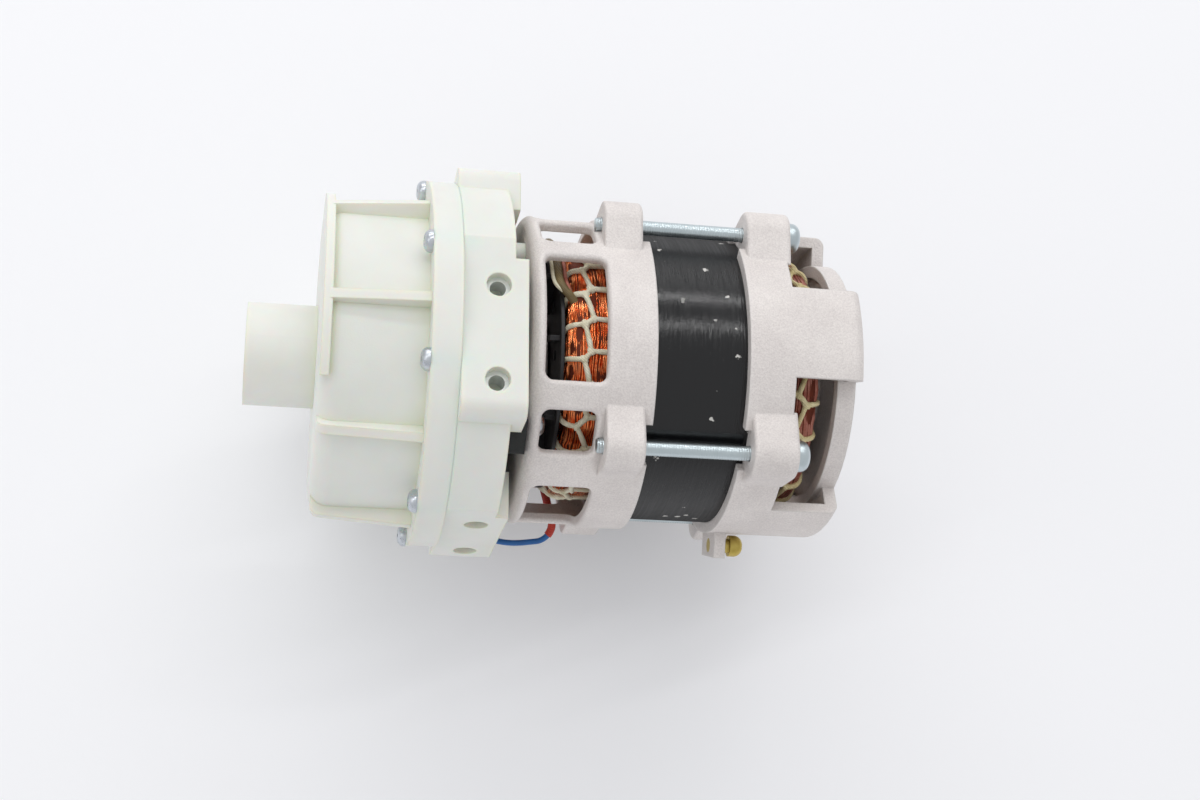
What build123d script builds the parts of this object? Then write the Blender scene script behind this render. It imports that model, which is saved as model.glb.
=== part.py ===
from build123d import *
import math
import os

# Drain pump: a plastic pump end bolted to an open-frame induction motor.
# Frame: the shaft lies along X, from the inlet mouth (X = 0, on the shaft's line) to the motor.
# Z is up, square to the upper mounting pad. Every length is in millimetres, every angle in degrees.
# An angle round the shaft is counted from +Z towards +Y.

# Hose spigots
INLET_OUTER_R = 14.0
INLET_BORE_R = 11.0
INLET_LENGTH = 18.7
OUTLET_OUTER_R = 12.0
OUTLET_BORE_R = 9.2
OUTLET_ROOT_R = 13.0
OUTLET_REACH = 62.0
OUTLET_NECK = 18.0
OUTLET_FROM_FRONT = 14.8
MOUTH_CHAMFER = 0.8
MOUTH_OVERCUT = 1.0

# Pump chamber, moulded as one piece with both spigots
CHAMBER_R = 42.4
CHAMBER_WALL = 3.0
CHAMBER_LENGTH = 27.3
CHAMBER_CORNER = 5.0
RIB_FRONT_R = 44.7
RIB_BACK_R = 46.8
RIB_THICK = 2.7
RIB_COUNT = 8
RIB_CORNER = 2.7
RIM_SETBACK = 0.4
RIM_WIDTH = 2.4
RIM_FROM = -27.0
RIM_TO = 150.0
RIM_STEPS = 60

# Flanges and their screws
FLANGE_R = 50.0
COVER_FLANGE = 7.7
COVER_SCREW_R = 47.4
COVER_SCREW_BESIDE_PAD = 20.0
COVER_SCREW_SHANK_R = 1.75
COVER_SCREW_HEAD_R = 3.05
COVER_SCREW_HEAD = 2.3
COVER_SCREW_LENGTH = 12.5
SCREW_CLEARANCE = 0.15
HEAD_DOME = 0.8
RECESS_WIDTH = 0.9
RECESS_DEPTH = 1.3
RECESS_SPAN = 1.1

# Pump body with its four mounting pads
BODY_THICK = 13.5
BODY_WALL = 4.0
BODY_FRONT_RECESS = 3.0
PAD_HEIGHT = 46.8
PAD_FOOT_R = 34.0
PAD_LOW = -30.5
PAD_HIGH = 12.0
PAD_LENGTH = 16.9
PAD_ROUND = 4.0
PAD_HOLE_R = 3.2
PAD_HOLE_PITCH = 25.7
PAD_HOLE_MIDDLE = -8.4
PAD_HOLE_FROM_JOINT = 9.2
PAD_HOLE_DEPTH = 9.0
INSERT_LENGTH = 6.0
INSERT_THREAD_R = 2.1
PAD_COUNT = 4
BOSS_R = 3.2
BOSS_RING_R = 34.0

# Gasket between the flanges
GASKET_R = 43.6
GASKET_SECTION_R = 0.98
GASKET_GROOVE_WIDTH = 2.1
GASKET_GROOVE_DEPTH = 2.0

# Shaft and its fits
SHAFT_R = 4.0
ROTOR_SHAFT_R = 5.0
RUNNING_GAP = 0.5
THREAD_R = 3.0
THREAD_LENGTH = 7.0
THREAD_FROM_WALL = 3.3
NUT_R = 5.8
NUT_LENGTH = 6.0
EDGE_CHAMFER = 0.5

# Impeller
IMPELLER_R = 33.0
IMPELLER_DISC = 2.5
IMPELLER_HUB_R = 8.0
IMPELLER_VANES = 6
VANE_HEIGHT = 12.0
VANE_THICK = 2.2
VANE_SWEEP = 28.0
VANE_ROOT = 1.0
VANE_BELLY = 0.6
VANE_BELLY_SWEEP = 0.7

# Shaft seal
SEAL_SEAT_R = 11.0
SEAL_SEAT_THICK = 5.0
SEAT_CUP_WALL = 1.5
SEAT_SOCKET_WALL = 2.5
SEAL_RING_R = 9.0
SEAL_RING_THICK = 3.0
SEAL_RING_GAP = 1.2
SEAL_FACE_GAP = 0.05
BELLOWS_R = 7.5
BELLOWS_LIP = 1.2
BELLOWS_SLOPE = 0.6
BELLOWS_DEPTH = 1.2
SPRING_COIL_R = 9.0
SPRING_WIRE_R = 0.6
SPRING_TURNS = 3
SPRING_END_GAP = 0.05
SLINGER_R = 10.0
SLINGER_THICK = 2.0
SLINGER_GAP = 1.0
BACK_PLATE_R = 28.6
BACK_PLATE_THICK = 2.2
BACK_PLATE_LAP = 3.0

# Motor end shields
MOTOR_ROLL = -1.0
MOTOR_GAP = 5.3
SHIELD_R = 43.0
SHIELD_WALL = 3.0
SHIELD_PLATE = 3.4
SHIELD_LENGTH = 32.5
SHIELD_CORNER = 3.4
SHIELD_SEAT = 5.0
SHIELD_STEP = 1.6
SHIELD_LEDGE = 2.4
LUG_TOP_R = 6.5
LUG_ROOT_HALF = 11.0
LUG_ROOT_R = 41.0
LUG_ROOT_HEIGHT = 0.4
LUG_INNER_R = 41.5
LUG_LENGTH = 10.4
LUG_SETBACK = 2.3
REAR_LUG_LENGTH = 12.2
REAR_LUG_SETBACK = 1.7
LUG_NOTCH_HALF = 7.8
LUG_ROUND = 1.1
LUG_FACE_ROUND = 0.7
WINDOWS = ((1.0, 23.4), (84.9, 29.6), (180.0, 23.4), (270.0, 23.4))
WINDOW_LENGTH = 16.2
WINDOW_FROM_FRONT = 3.5
WINDOW_FLOOR_R = 30.0
WINDOW_CORNER = 2.2
WINDOW_ROUND = 1.2
LUG_WINDOW_ANGLE = 42.2
LUG_WINDOW_HALF = 8.1
LUG_WINDOW_LENGTH = 14.4
LUG_WINDOW_FLOOR_R = 35.0
REAR_LENGTH = 31.5
REAR_CORNER = 2.8
REAR_ARM_HALF = 17.3
REAR_SKIRT = 12.5
REAR_RING_R = 34.6
REAR_RING_INNER_R = 31.2
REAR_RING_LENGTH = 5.0
BEARING_HUB_R = 14.0

# Earth point on the rear shield
EARTH_ANGLE = -109.0
EARTH_TAB_THICK = 3.2
EARTH_TAB_WIDTH = 14.0
EARTH_TAB_R = 49.6
EARTH_TAB_ROOT_R = 41.0
EARTH_SCREW_R = 2.0
EARTH_SCREW_HEAD_R = 3.0
EARTH_SCREW_HEAD = 4.0
EARTH_WASHER = 0.8
EARTH_WASHER_R = 3.3
EARTH_SCREW_GAP = 1.7
EARTH_SCREW_RING_R = 46.4

# Stator
STACK_R = 40.0
STACK_LENGTH = 34.7
STACK_BORE_R = 20.0
SLOT_COUNT = 24
SLOT_WIDTH = 3.2
SLOT_INNER_R = 22.0
SLOT_OUTER_R = 33.2
SLOT_MOUTH = 1.6
SLOT_MOUTH_DEPTH = 3.0
SLOT_MOUTH_LAP = 0.5
LINER_THICK = 0.2
LINER_CLEARANCE = 0.05
LINER_OVERHANG = 1.0
COIL_R = 34.2
COIL_INNER_R = 23.5
COIL_OVERHANG = 16.6
COIL_CORNER = 3.0
COIL_FACE_GAP = 1.4
LACE_R = 0.65
LACE_LEFT = 3.6
LACE_RIGHT = 6.0
LACE_SHIFT = 0.28
LACE_TURN_IN = 1.5

# Rotor
AIR_GAP = 0.35
END_RING_R = 18.6
END_RING_LENGTH = 6.0
END_RING_INNER_R = 12.0
END_RING_BLADES = 8
END_RING_BLADE_THICK = 1.6
END_RING_BLADE_LENGTH = 3.0
END_RING_BLADE_INSET = 0.5
FAN_R = 32.5
FAN_PLATE = 1.0
FAN_BLADES = 9
FAN_BLADE_LENGTH = 2.8
FAN_BLADE_THICK = 1.4
FAN_BLADE_FROM_R = 16.5
FAN_BLADE_TO_R = 31.0
FAN_BLADE_SLANT = 20.0
FAN_HUB_R = 8.0
FAN_HUB_LENGTH = 6.0
FAN_FROM_SHIELD = 8.8
FAN_HOLE_R = 1.6
FAN_HOLE_RING_R = 22.0

# Ball bearings
BEARING_R = 11.0
BEARING_WIDTH = 7.0
BALL_PITCH_R = 7.55
BALL_R = 1.75
BALL_CLEARANCE = 0.03
BALL_COUNT = 7
BALL_TURN = 10.0
RACE_GAP_HALF = 1.15
BEARING_SHIELD_THICK = 0.5
BEARING_SHIELD_GAP = 0.2
BEARING_SHIELD_INSET = 0.2
CAGE_INNER_R = 6.95
CAGE_OUTER_R = 8.15
CAGE_WIDTH = 4.2
WAVE_WASHER_THICK = 0.9
WAVE_WASHER_GAP = 0.2
BEARING_LIP = 1.2
BEARING_STOP = 3.0

# Tie bolts
BOLT_R = 2.0
BOLT_RING_R = 44.3
BOLT_ANGLE = 45.0
BOLT_COUNT = 4
BOLT_END = 1.7
BOLT_HEAD_R = 4.2
BOLT_HEAD = 3.8
BOLT_CLEARANCE = 0.1

# Screws that hold the pump body on the motor
BODY_SCREW_R = 1.5
BODY_SCREW_HEAD_R = 3.0
BODY_SCREW_HEAD = 2.3
BODY_SCREW_LENGTH = 15.0

# Rubber buffer between the pump body and the motor
BUFFER_ANGLE = -45.5
BUFFER_INNER_R = 37.5
BUFFER_OUTER_R = 43.0
BUFFER_WIDTH = 10.0
BUFFER_ROUND = 1.0

# Motor lead in its plug and sleeve
LEAD_R = 0.85
LEAD_CLEARANCE = 0.05
SLEEVE_R = 1.15
PLUG_LENGTH = 11.0
PLUG_WIDTH = 8.0
PLUG_HEIGHT = 4.6
PLUG_SINK = 1.0
PLUG_ROUND = 0.8
PLUG_ANGLE = -133.5
PLUG_SOCKET = 1.5
PLUG_SETBACK = 1.0
LEAD_SAG = (77.0, 53.5, -131.0)
SLEEVE_CORNER = (91.0, 51.6, -131.5)
SLEEVE_END = (85.5, 35.6, -137.0)
SLEEVE_BEND_R = 6 * LEAD_R
BEND_SHARE = 0.45
SLEEVE_FROM = 0.45

# Margins for cuts that run past a surface and for finding edges
CUT_OVERLAP = 1.0
EDGE_MARGIN = 0.1

# Stations along the shaft
FRONT_X = INLET_LENGTH
FLANGE_X = FRONT_X + CHAMBER_LENGTH
JOINT_X = FLANGE_X + COVER_FLANGE
BODY_BACK_X = JOINT_X + BODY_THICK
SHIELD_X = BODY_BACK_X + MOTOR_GAP
SHIELD_END_X = SHIELD_X + SHIELD_LENGTH
STACK_X = SHIELD_END_X - SHIELD_SEAT
STACK_END_X = STACK_X + STACK_LENGTH
REAR_X = STACK_END_X - SHIELD_SEAT
REAR_END_X = REAR_X + REAR_LENGTH
LUG_END_X = SHIELD_END_X - LUG_SETBACK
LUG_X = LUG_END_X - LUG_LENGTH
REAR_LUG_X = REAR_X + REAR_LUG_SETBACK
REAR_LUG_END_X = REAR_LUG_X + REAR_LUG_LENGTH
FRONT_BEARING_X = SHIELD_X + BEARING_LIP
REAR_BEARING_X = REAR_END_X - SHIELD_PLATE - BEARING_WIDTH
WALL_X = JOINT_X + BODY_FRONT_RECESS
WALL_BACK_X = WALL_X + BODY_WALL
OUTLET_X = FRONT_X + OUTLET_FROM_FRONT
OUTLET_Y = CHAMBER_R - OUTLET_ROOT_R
CAVITY_R = CHAMBER_R - CHAMBER_WALL
LUG_R = BOLT_RING_R + LUG_TOP_R
SHIELD_INNER_R = SHIELD_R - SHIELD_WALL
LEDGE_R = STACK_R - SHIELD_STEP
SEAT_CUP_R = SEAL_SEAT_R + SEAT_CUP_WALL
SEAT_X = WALL_BACK_X - SEAL_SEAT_THICK
SEAL_RING_X = SEAT_X - SEAL_FACE_GAP - SEAL_RING_THICK
SHAFT_X = FRONT_X + CHAMBER_WALL + THREAD_FROM_WALL
IMPELLER_X = SHAFT_X + THREAD_LENGTH
IMPELLER_BACK_X = IMPELLER_X + VANE_HEIGHT
IMPELLER_END_X = IMPELLER_BACK_X + IMPELLER_DISC
PAD_HOLES = (PAD_HOLE_MIDDLE - PAD_HOLE_PITCH / 2, PAD_HOLE_MIDDLE + PAD_HOLE_PITCH / 2)
PAD_ANGLES = [k * 360 / PAD_COUNT for k in range(PAD_COUNT)]
BOLT_ANGLES = [MOTOR_ROLL + BOLT_ANGLE + k * 360 / BOLT_COUNT for k in range(BOLT_COUNT)]
SCREW_ANGLES = [pad + side * COVER_SCREW_BESIDE_PAD for pad in PAD_ANGLES for side in (-1, 1)]
LUG_WINDOW_ANGLES = [
    MOTOR_ROLL + half_turn + side * LUG_WINDOW_ANGLE for half_turn in (0, 180) for side in (-1, 1)
]


def across(x, angle=0.0):
    """Plane square to the shaft at x: its Y points outwards at the angle, its Z along +X."""
    turn = math.radians(angle)
    return Plane(origin=(x, 0, 0), x_dir=(0, math.cos(turn), -math.sin(turn)), z_dir=(1, 0, 0))


def outwards(x, angle, height):
    """Plane facing outwards at the angle and height above the shaft: its X runs along the shaft."""
    turn = math.radians(angle)
    out = (0, math.sin(turn), math.cos(turn))
    return Plane(origin=(x, height * out[1], height * out[2]), x_dir=(1, 0, 0), z_dir=out)


def along(angle):
    """Plane holding the shaft's line: its X runs along the shaft, its Y outwards at the angle."""
    turn = math.radians(angle)
    return Plane(origin=(0, 0, 0), x_dir=(1, 0, 0), z_dir=(0, -math.cos(turn), math.sin(turn)))


def polar(radius, angle):
    """Point on a plane square to the shaft, as its Y and Z."""
    turn = math.radians(angle)
    return (radius * math.sin(turn), radius * math.cos(turn))


def at(x, radius, angle):
    """Point at a place along the shaft, a radius and an angle."""
    y, z = polar(radius, angle)
    return (x, y, z)


def sector_points(inner, outer, middle, half, steps=8):
    """Outline of a piece of a ring between two radii, half the given angle each way."""
    angles = [middle - half + 2 * half * k / steps for k in range(steps + 1)]
    far = [polar(outer, a) for a in angles]
    near = [polar(inner, a) for a in reversed(angles)]
    return far + near


def ring(inner, outer, x, length):
    """Plain ring round the shaft."""
    with BuildPart() as made:
        with BuildSketch(Plane.YZ.offset(x)):
            Circle(outer)
            Circle(inner, mode=Mode.SUBTRACT)
        extrude(amount=length)
    return made.part


def edges_at(part, low, high, inner, outer):
    """Edges whose middle lies between two stations and between two radii."""
    return part.edges().filter_by(
        lambda edge: low < (edge @ 0.5).X < high
        and inner < math.hypot((edge @ 0.5).Y, (edge @ 0.5).Z) < outer
    )


def save(part, name):
    """Labels a finished piece and writes it."""
    part.label = name
    export_step(part, "parts/" + name + ".step")


os.makedirs("parts", exist_ok=True)

# Volute cover: chamber, ribs, flange, inlet spigot on the shaft's line and tangential outlet spigot
with BuildPart() as volute_cover:
    with BuildSketch(Plane.XZ):
        with BuildLine():
            Polyline(
                (0, 0),
                (0, INLET_OUTER_R),
                (FRONT_X, INLET_OUTER_R),
                (FRONT_X, CHAMBER_R - CHAMBER_CORNER),
            )
            RadiusArc(
                (FRONT_X, CHAMBER_R - CHAMBER_CORNER),
                (FRONT_X + CHAMBER_CORNER, CHAMBER_R),
                CHAMBER_CORNER,
            )
            Polyline(
                (FRONT_X + CHAMBER_CORNER, CHAMBER_R),
                (FLANGE_X, CHAMBER_R),
                (FLANGE_X, FLANGE_R),
                (JOINT_X, FLANGE_R),
                (JOINT_X, 0),
                (0, 0),
            )
        make_face()
    revolve(axis=Axis.X)
    for k in range(RIB_COUNT):
        with BuildSketch(along(k * 360 / RIB_COUNT)) as rib_side:
            with BuildLine():
                Polyline(
                    (FRONT_X + RIM_SETBACK, CAVITY_R),
                    (FRONT_X + RIM_SETBACK, RIB_FRONT_R),
                    (FLANGE_X, RIB_BACK_R),
                    (FLANGE_X, CAVITY_R),
                    close=True,
                )
            make_face()
            fillet(rib_side.vertices().sort_by(Axis.Y)[-2], RIB_CORNER)
        extrude(amount=RIB_THICK / 2, both=True)
    rim_middle = (RIM_FROM + RIM_TO) / 2
    rim_half = (RIM_TO - RIM_FROM) / 2
    with BuildSketch(Plane.YZ.offset(FRONT_X + RIM_SETBACK)):
        with BuildLine():
            Polyline(*sector_points(CAVITY_R, RIB_FRONT_R, rim_middle, rim_half, RIM_STEPS), close=True)
        make_face()
    extrude(amount=RIM_WIDTH)
    neck_z = OUTLET_NECK - OUTLET_REACH
    for radius, low, high in ((OUTLET_OUTER_R, -OUTLET_REACH, neck_z), (OUTLET_ROOT_R, neck_z, 0)):
        with BuildSketch(Plane.XY.offset(low)):
            with Locations((OUTLET_X, OUTLET_Y)):
                Circle(radius)
        extrude(amount=high - low)
    with BuildSketch(Plane.XZ):
        with BuildLine():
            Polyline(
                (-MOUTH_OVERCUT, 0),
                (-MOUTH_OVERCUT, INLET_BORE_R),
                (FRONT_X + CHAMBER_WALL, INLET_BORE_R),
                (FRONT_X + CHAMBER_WALL, CAVITY_R - CHAMBER_CORNER),
            )
            RadiusArc(
                (FRONT_X + CHAMBER_WALL, CAVITY_R - CHAMBER_CORNER),
                (FRONT_X + CHAMBER_WALL + CHAMBER_CORNER, CAVITY_R),
                CHAMBER_CORNER,
            )
            Polyline(
                (FRONT_X + CHAMBER_WALL + CHAMBER_CORNER, CAVITY_R),
                (JOINT_X, CAVITY_R),
                (JOINT_X, 0),
                (-MOUTH_OVERCUT, 0),
            )
        make_face()
    revolve(axis=Axis.X, mode=Mode.SUBTRACT)
    with BuildSketch(Plane.XY.offset(-OUTLET_REACH)):
        with Locations((OUTLET_X, OUTLET_Y)):
            Circle(OUTLET_BORE_R)
    extrude(amount=OUTLET_REACH, mode=Mode.SUBTRACT)
    for angle in SCREW_ANGLES:
        with BuildSketch(Plane.YZ.offset(FLANGE_X)):
            with Locations(polar(COVER_SCREW_R, angle)):
                Circle(COVER_SCREW_SHANK_R + SCREW_CLEARANCE)
        extrude(amount=COVER_FLANGE, mode=Mode.SUBTRACT)
    for way in (Axis.X, Axis.Z):
        mouth_edges = volute_cover.edges().group_by(way)[0]
        chamfer(mouth_edges.sort_by(SortBy.LENGTH)[0], MOUTH_CHAMFER)
save(volute_cover.part, "volute_cover")

# Pump body: round back wall of the chamber with four mounting pads and four bosses to the motor
with BuildPart() as pump_body:
    with BuildSketch(Plane.YZ.offset(JOINT_X)):
        Circle(FLANGE_R)
        for angle in PAD_ANGLES:
            with Locations(Pos(*polar(PAD_HEIGHT + FLANGE_R, angle)) * Rot(0, 0, -angle)):
                Rectangle(2 * FLANGE_R, 2 * FLANGE_R, mode=Mode.SUBTRACT)
    extrude(amount=BODY_THICK)
    for angle in PAD_ANGLES:
        with BuildSketch(across(JOINT_X, angle)) as pad_end:
            with Locations(((PAD_LOW + PAD_HIGH) / 2, (PAD_FOOT_R + PAD_HEIGHT) / 2)):
                Rectangle(PAD_HIGH - PAD_LOW, PAD_HEIGHT - PAD_FOOT_R)
            fillet(pad_end.vertices().sort_by(Axis.X)[:2].sort_by(Axis.Y)[-1], PAD_ROUND)
        extrude(amount=PAD_LENGTH)
    for angle in BOLT_ANGLES:
        with BuildSketch(Plane.YZ.offset(BODY_BACK_X)):
            with Locations(polar(BOSS_RING_R, angle)):
                Circle(BOSS_R)
        extrude(amount=MOTOR_GAP)
    with BuildSketch(Plane.YZ.offset(JOINT_X)):
        Circle(CAVITY_R)
    extrude(amount=BODY_FRONT_RECESS, mode=Mode.SUBTRACT)
    with BuildSketch(Plane.YZ.offset(WALL_BACK_X)):
        Circle(BACK_PLATE_R - BACK_PLATE_LAP)
        Circle(SEAT_CUP_R + SEAT_SOCKET_WALL, mode=Mode.SUBTRACT)
    extrude(amount=BODY_BACK_X - WALL_BACK_X, mode=Mode.SUBTRACT)
    with BuildSketch(Plane.YZ.offset(JOINT_X)):
        Circle(SEAT_CUP_R)
    extrude(amount=WALL_BACK_X - JOINT_X, mode=Mode.SUBTRACT)
    with BuildSketch(Plane.YZ.offset(JOINT_X)):
        Circle(SLINGER_R + SLINGER_GAP)
    extrude(amount=BODY_THICK, mode=Mode.SUBTRACT)
    with BuildSketch(Plane.YZ.offset(JOINT_X)):
        Circle(GASKET_R + GASKET_GROOVE_WIDTH / 2)
        Circle(GASKET_R - GASKET_GROOVE_WIDTH / 2, mode=Mode.SUBTRACT)
    extrude(amount=GASKET_GROOVE_DEPTH, mode=Mode.SUBTRACT)
    for angle in PAD_ANGLES:
        with BuildSketch(outwards(JOINT_X + PAD_HOLE_FROM_JOINT, angle, PAD_HEIGHT)):
            with Locations(*[(0, side) for side in PAD_HOLES]):
                Circle(PAD_HOLE_R)
        extrude(amount=-PAD_HOLE_DEPTH, mode=Mode.SUBTRACT)
    for angle in SCREW_ANGLES:
        with BuildSketch(Plane.YZ.offset(JOINT_X)):
            with Locations(polar(COVER_SCREW_R, angle)):
                Circle(COVER_SCREW_SHANK_R)
        extrude(amount=COVER_SCREW_LENGTH - COVER_FLANGE, mode=Mode.SUBTRACT)
    for angle in BOLT_ANGLES:
        with BuildSketch(Plane.YZ.offset(SHIELD_X)):
            with Locations(polar(BOSS_RING_R, angle)):
                Circle(BODY_SCREW_R)
        extrude(amount=SHIELD_PLATE - BODY_SCREW_LENGTH, mode=Mode.SUBTRACT)
save(pump_body.part, "pump_body")


def pan_screw(x, radius, angle, shank_r, length, head_r, head, way):
    """Pan-head screw parallel to the shaft, its head's seat at x, its shank running along +1 or -1."""
    seat = Plane.YZ.offset(x)
    with BuildPart() as screw:
        with BuildSketch(seat):
            with Locations(polar(radius, angle)):
                Circle(shank_r)
        extrude(amount=way * length)
        with BuildSketch(seat):
            with Locations(polar(radius, angle)):
                Circle(head_r)
        extrude(amount=-way * head)
        crown = screw.edges().sort_by(Axis.X)[0 if way > 0 else -1]
        fillet(crown, min(head, head_r) * HEAD_DOME)
        with BuildSketch(Plane.YZ.offset(x - way * head)):
            with Locations(Pos(*polar(radius, angle)) * Rot(0, 0, -angle)):
                Rectangle(head_r * RECESS_SPAN, RECESS_WIDTH)
                Rectangle(RECESS_WIDTH, head_r * RECESS_SPAN)
        extrude(amount=way * RECESS_DEPTH, mode=Mode.SUBTRACT)
    return screw.part


# Cover screws: eight pan-head screws through the cover's flange, two beside each pad
save(
    Compound(
        [
            pan_screw(
                FLANGE_X,
                COVER_SCREW_R,
                angle,
                COVER_SCREW_SHANK_R,
                COVER_SCREW_LENGTH,
                COVER_SCREW_HEAD_R,
                COVER_SCREW_HEAD,
                1,
            )
            for angle in SCREW_ANGLES
        ]
    ),
    "cover_screws",
)

# Body screws: four, from inside the motor's front shield into the pump body's bosses
save(
    Compound(
        [
            pan_screw(
                SHIELD_X + SHIELD_PLATE,
                BOSS_RING_R,
                angle,
                BODY_SCREW_R,
                BODY_SCREW_LENGTH,
                BODY_SCREW_HEAD_R,
                BODY_SCREW_HEAD,
                -1,
            )
            for angle in BOLT_ANGLES
        ]
    ),
    "body_screws",
)

# Tie bolts: four long threaded bolts that clamp both shields on the stator stack
bolt_length = REAR_LUG_END_X - LUG_X + BOLT_END
save(
    Compound(
        [
            pan_screw(
                REAR_LUG_END_X, BOLT_RING_R, angle, BOLT_R, bolt_length, BOLT_HEAD_R, BOLT_HEAD, -1
            )
            for angle in BOLT_ANGLES
        ]
    ),
    "tie_bolts",
)

# Gasket: round rubber ring in the body's groove
with BuildPart() as cover_gasket:
    with BuildSketch(Plane.XZ):
        with Locations((JOINT_X + GASKET_GROOVE_DEPTH / 2, GASKET_R)):
            Circle(GASKET_SECTION_R)
    revolve(axis=Axis.X)
save(cover_gasket.part, "cover_gasket")

# Threaded inserts: two metal inserts deep in each pad
inserts = []
for angle in PAD_ANGLES:
    for side in PAD_HOLES:
        with BuildPart() as insert:
            bottom = PAD_HEIGHT - PAD_HOLE_DEPTH
            with BuildSketch(outwards(JOINT_X + PAD_HOLE_FROM_JOINT, angle, bottom)):
                with Locations((0, side)):
                    Circle(PAD_HOLE_R)
                    Circle(INSERT_THREAD_R, mode=Mode.SUBTRACT)
            extrude(amount=INSERT_LENGTH)
        inserts.append(insert.part)
save(Compound(inserts), "pad_inserts")

# Impeller: open wheel with swept vanes in front of a disc
with BuildPart() as impeller:
    with BuildSketch(Plane.YZ.offset(IMPELLER_BACK_X)):
        Circle(IMPELLER_R)
    extrude(amount=IMPELLER_DISC)
    with BuildSketch(Plane.YZ.offset(IMPELLER_X)):
        Circle(IMPELLER_HUB_R)
    extrude(amount=VANE_HEIGHT)
    for k in range(IMPELLER_VANES):
        start = k * 360 / IMPELLER_VANES
        with BuildSketch(Plane.YZ.offset(IMPELLER_X)):
            with BuildLine():
                ThreePointArc(
                    polar(IMPELLER_HUB_R - VANE_ROOT, start),
                    polar(IMPELLER_R * VANE_BELLY, start + VANE_SWEEP * VANE_BELLY_SWEEP),
                    polar(IMPELLER_R - VANE_THICK, start + VANE_SWEEP),
                )
            trace(line_width=VANE_THICK)
        extrude(amount=VANE_HEIGHT)
    with BuildSketch(Plane.YZ.offset(IMPELLER_X)):
        Circle(SHAFT_R)
    extrude(amount=VANE_HEIGHT + IMPELLER_DISC, mode=Mode.SUBTRACT)
save(impeller.part, "impeller")

# Impeller nut on the shaft's threaded end
with BuildPart() as impeller_nut:
    with BuildSketch(Plane.YZ.offset(IMPELLER_X - NUT_LENGTH)):
        RegularPolygon(NUT_R, 6)
        Circle(THREAD_R, mode=Mode.SUBTRACT)
    extrude(amount=NUT_LENGTH)
    nut_ends = impeller_nut.faces().filter_by(Axis.X)
    chamfer(nut_ends.sort_by(Axis.X)[0].outer_wire().edges(), EDGE_CHAMFER)
save(impeller_nut.part, "impeller_nut")

# Shaft seal: ceramic seat in its rubber cup, carbon ring, bellows and spring
with BuildPart() as seal_cup:
    with BuildSketch(Plane.YZ.offset(SEAT_X)):
        Circle(SEAT_CUP_R)
        Circle(SEAL_SEAT_R, mode=Mode.SUBTRACT)
    extrude(amount=SEAL_SEAT_THICK)
save(seal_cup.part, "seal_cup")
save(ring(SHAFT_R + RUNNING_GAP, SEAL_SEAT_R, SEAT_X, SEAL_SEAT_THICK), "seal_seat")
save(ring(SHAFT_R + SEAL_RING_GAP, SEAL_RING_R, SEAL_RING_X, SEAL_RING_THICK), "seal_ring")
with BuildPart() as seal_bellows:
    with BuildSketch(Plane.XZ):
        with BuildLine():
            Polyline(
                (IMPELLER_END_X, SHAFT_R),
                (IMPELLER_END_X, BELLOWS_R),
                (IMPELLER_END_X + BELLOWS_LIP, BELLOWS_R),
                (IMPELLER_END_X + BELLOWS_LIP + BELLOWS_SLOPE, BELLOWS_R - BELLOWS_DEPTH),
                (SEAL_RING_X - BELLOWS_LIP - BELLOWS_SLOPE, BELLOWS_R - BELLOWS_DEPTH),
                (SEAL_RING_X - BELLOWS_LIP, BELLOWS_R),
                (SEAL_RING_X, BELLOWS_R),
                (SEAL_RING_X, SHAFT_R),
                close=True,
            )
        make_face()
    revolve(axis=Axis.X)
save(seal_bellows.part, "seal_bellows")
spring_ends = 2 * (SPRING_WIRE_R + SPRING_END_GAP)
spring_pitch = (SEAL_RING_X - IMPELLER_END_X - spring_ends) / SPRING_TURNS
with BuildPart() as seal_spring:
    coil_start = (IMPELLER_END_X + spring_ends / 2, 0, 0)
    with BuildLine() as coil:
        Helix(spring_pitch, spring_pitch * SPRING_TURNS, SPRING_COIL_R, coil_start, (1, 0, 0))
    with BuildSketch(Plane(origin=coil.line @ 0, z_dir=coil.line % 0)):
        Circle(SPRING_WIRE_R)
    sweep(path=coil.line, is_frenet=True)
save(seal_spring.part, "seal_spring")

# Slinger on the shaft behind the seal, and the black plate that closes the body's back
with BuildPart() as slinger:
    with BuildSketch(Plane.YZ.offset(WALL_BACK_X + SLINGER_GAP)):
        Circle(SLINGER_R)
        Circle(SHAFT_R, mode=Mode.SUBTRACT)
    extrude(amount=SLINGER_THICK)
    chamfer(slinger.edges().sort_by(SortBy.LENGTH)[-2:], EDGE_CHAMFER)
save(slinger.part, "slinger")
save(ring(SLINGER_R + SLINGER_GAP, BACK_PLATE_R, BODY_BACK_X, BACK_PLATE_THICK), "back_plate")

# Shaft: stepped steel bar with a threaded front end
shaft_end_x = REAR_BEARING_X + BEARING_WIDTH
with BuildPart() as shaft:
    with BuildSketch(Plane.XZ):
        with BuildLine():
            Polyline(
                (SHAFT_X, 0),
                (SHAFT_X, THREAD_R),
                (IMPELLER_X, THREAD_R),
                (IMPELLER_X, SHAFT_R),
                (FRONT_BEARING_X + BEARING_WIDTH, SHAFT_R),
                (FRONT_BEARING_X + BEARING_WIDTH, ROTOR_SHAFT_R),
                (REAR_BEARING_X, ROTOR_SHAFT_R),
                (REAR_BEARING_X, SHAFT_R),
                (shaft_end_x, SHAFT_R),
                (shaft_end_x, 0),
                close=True,
            )
        make_face()
    revolve(axis=Axis.X)
    chamfer(shaft.edges().group_by(Axis.X)[0], EDGE_CHAMFER)
    chamfer(shaft.edges().group_by(Axis.X)[-1], EDGE_CHAMFER)
save(shaft.part, "shaft")

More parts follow.
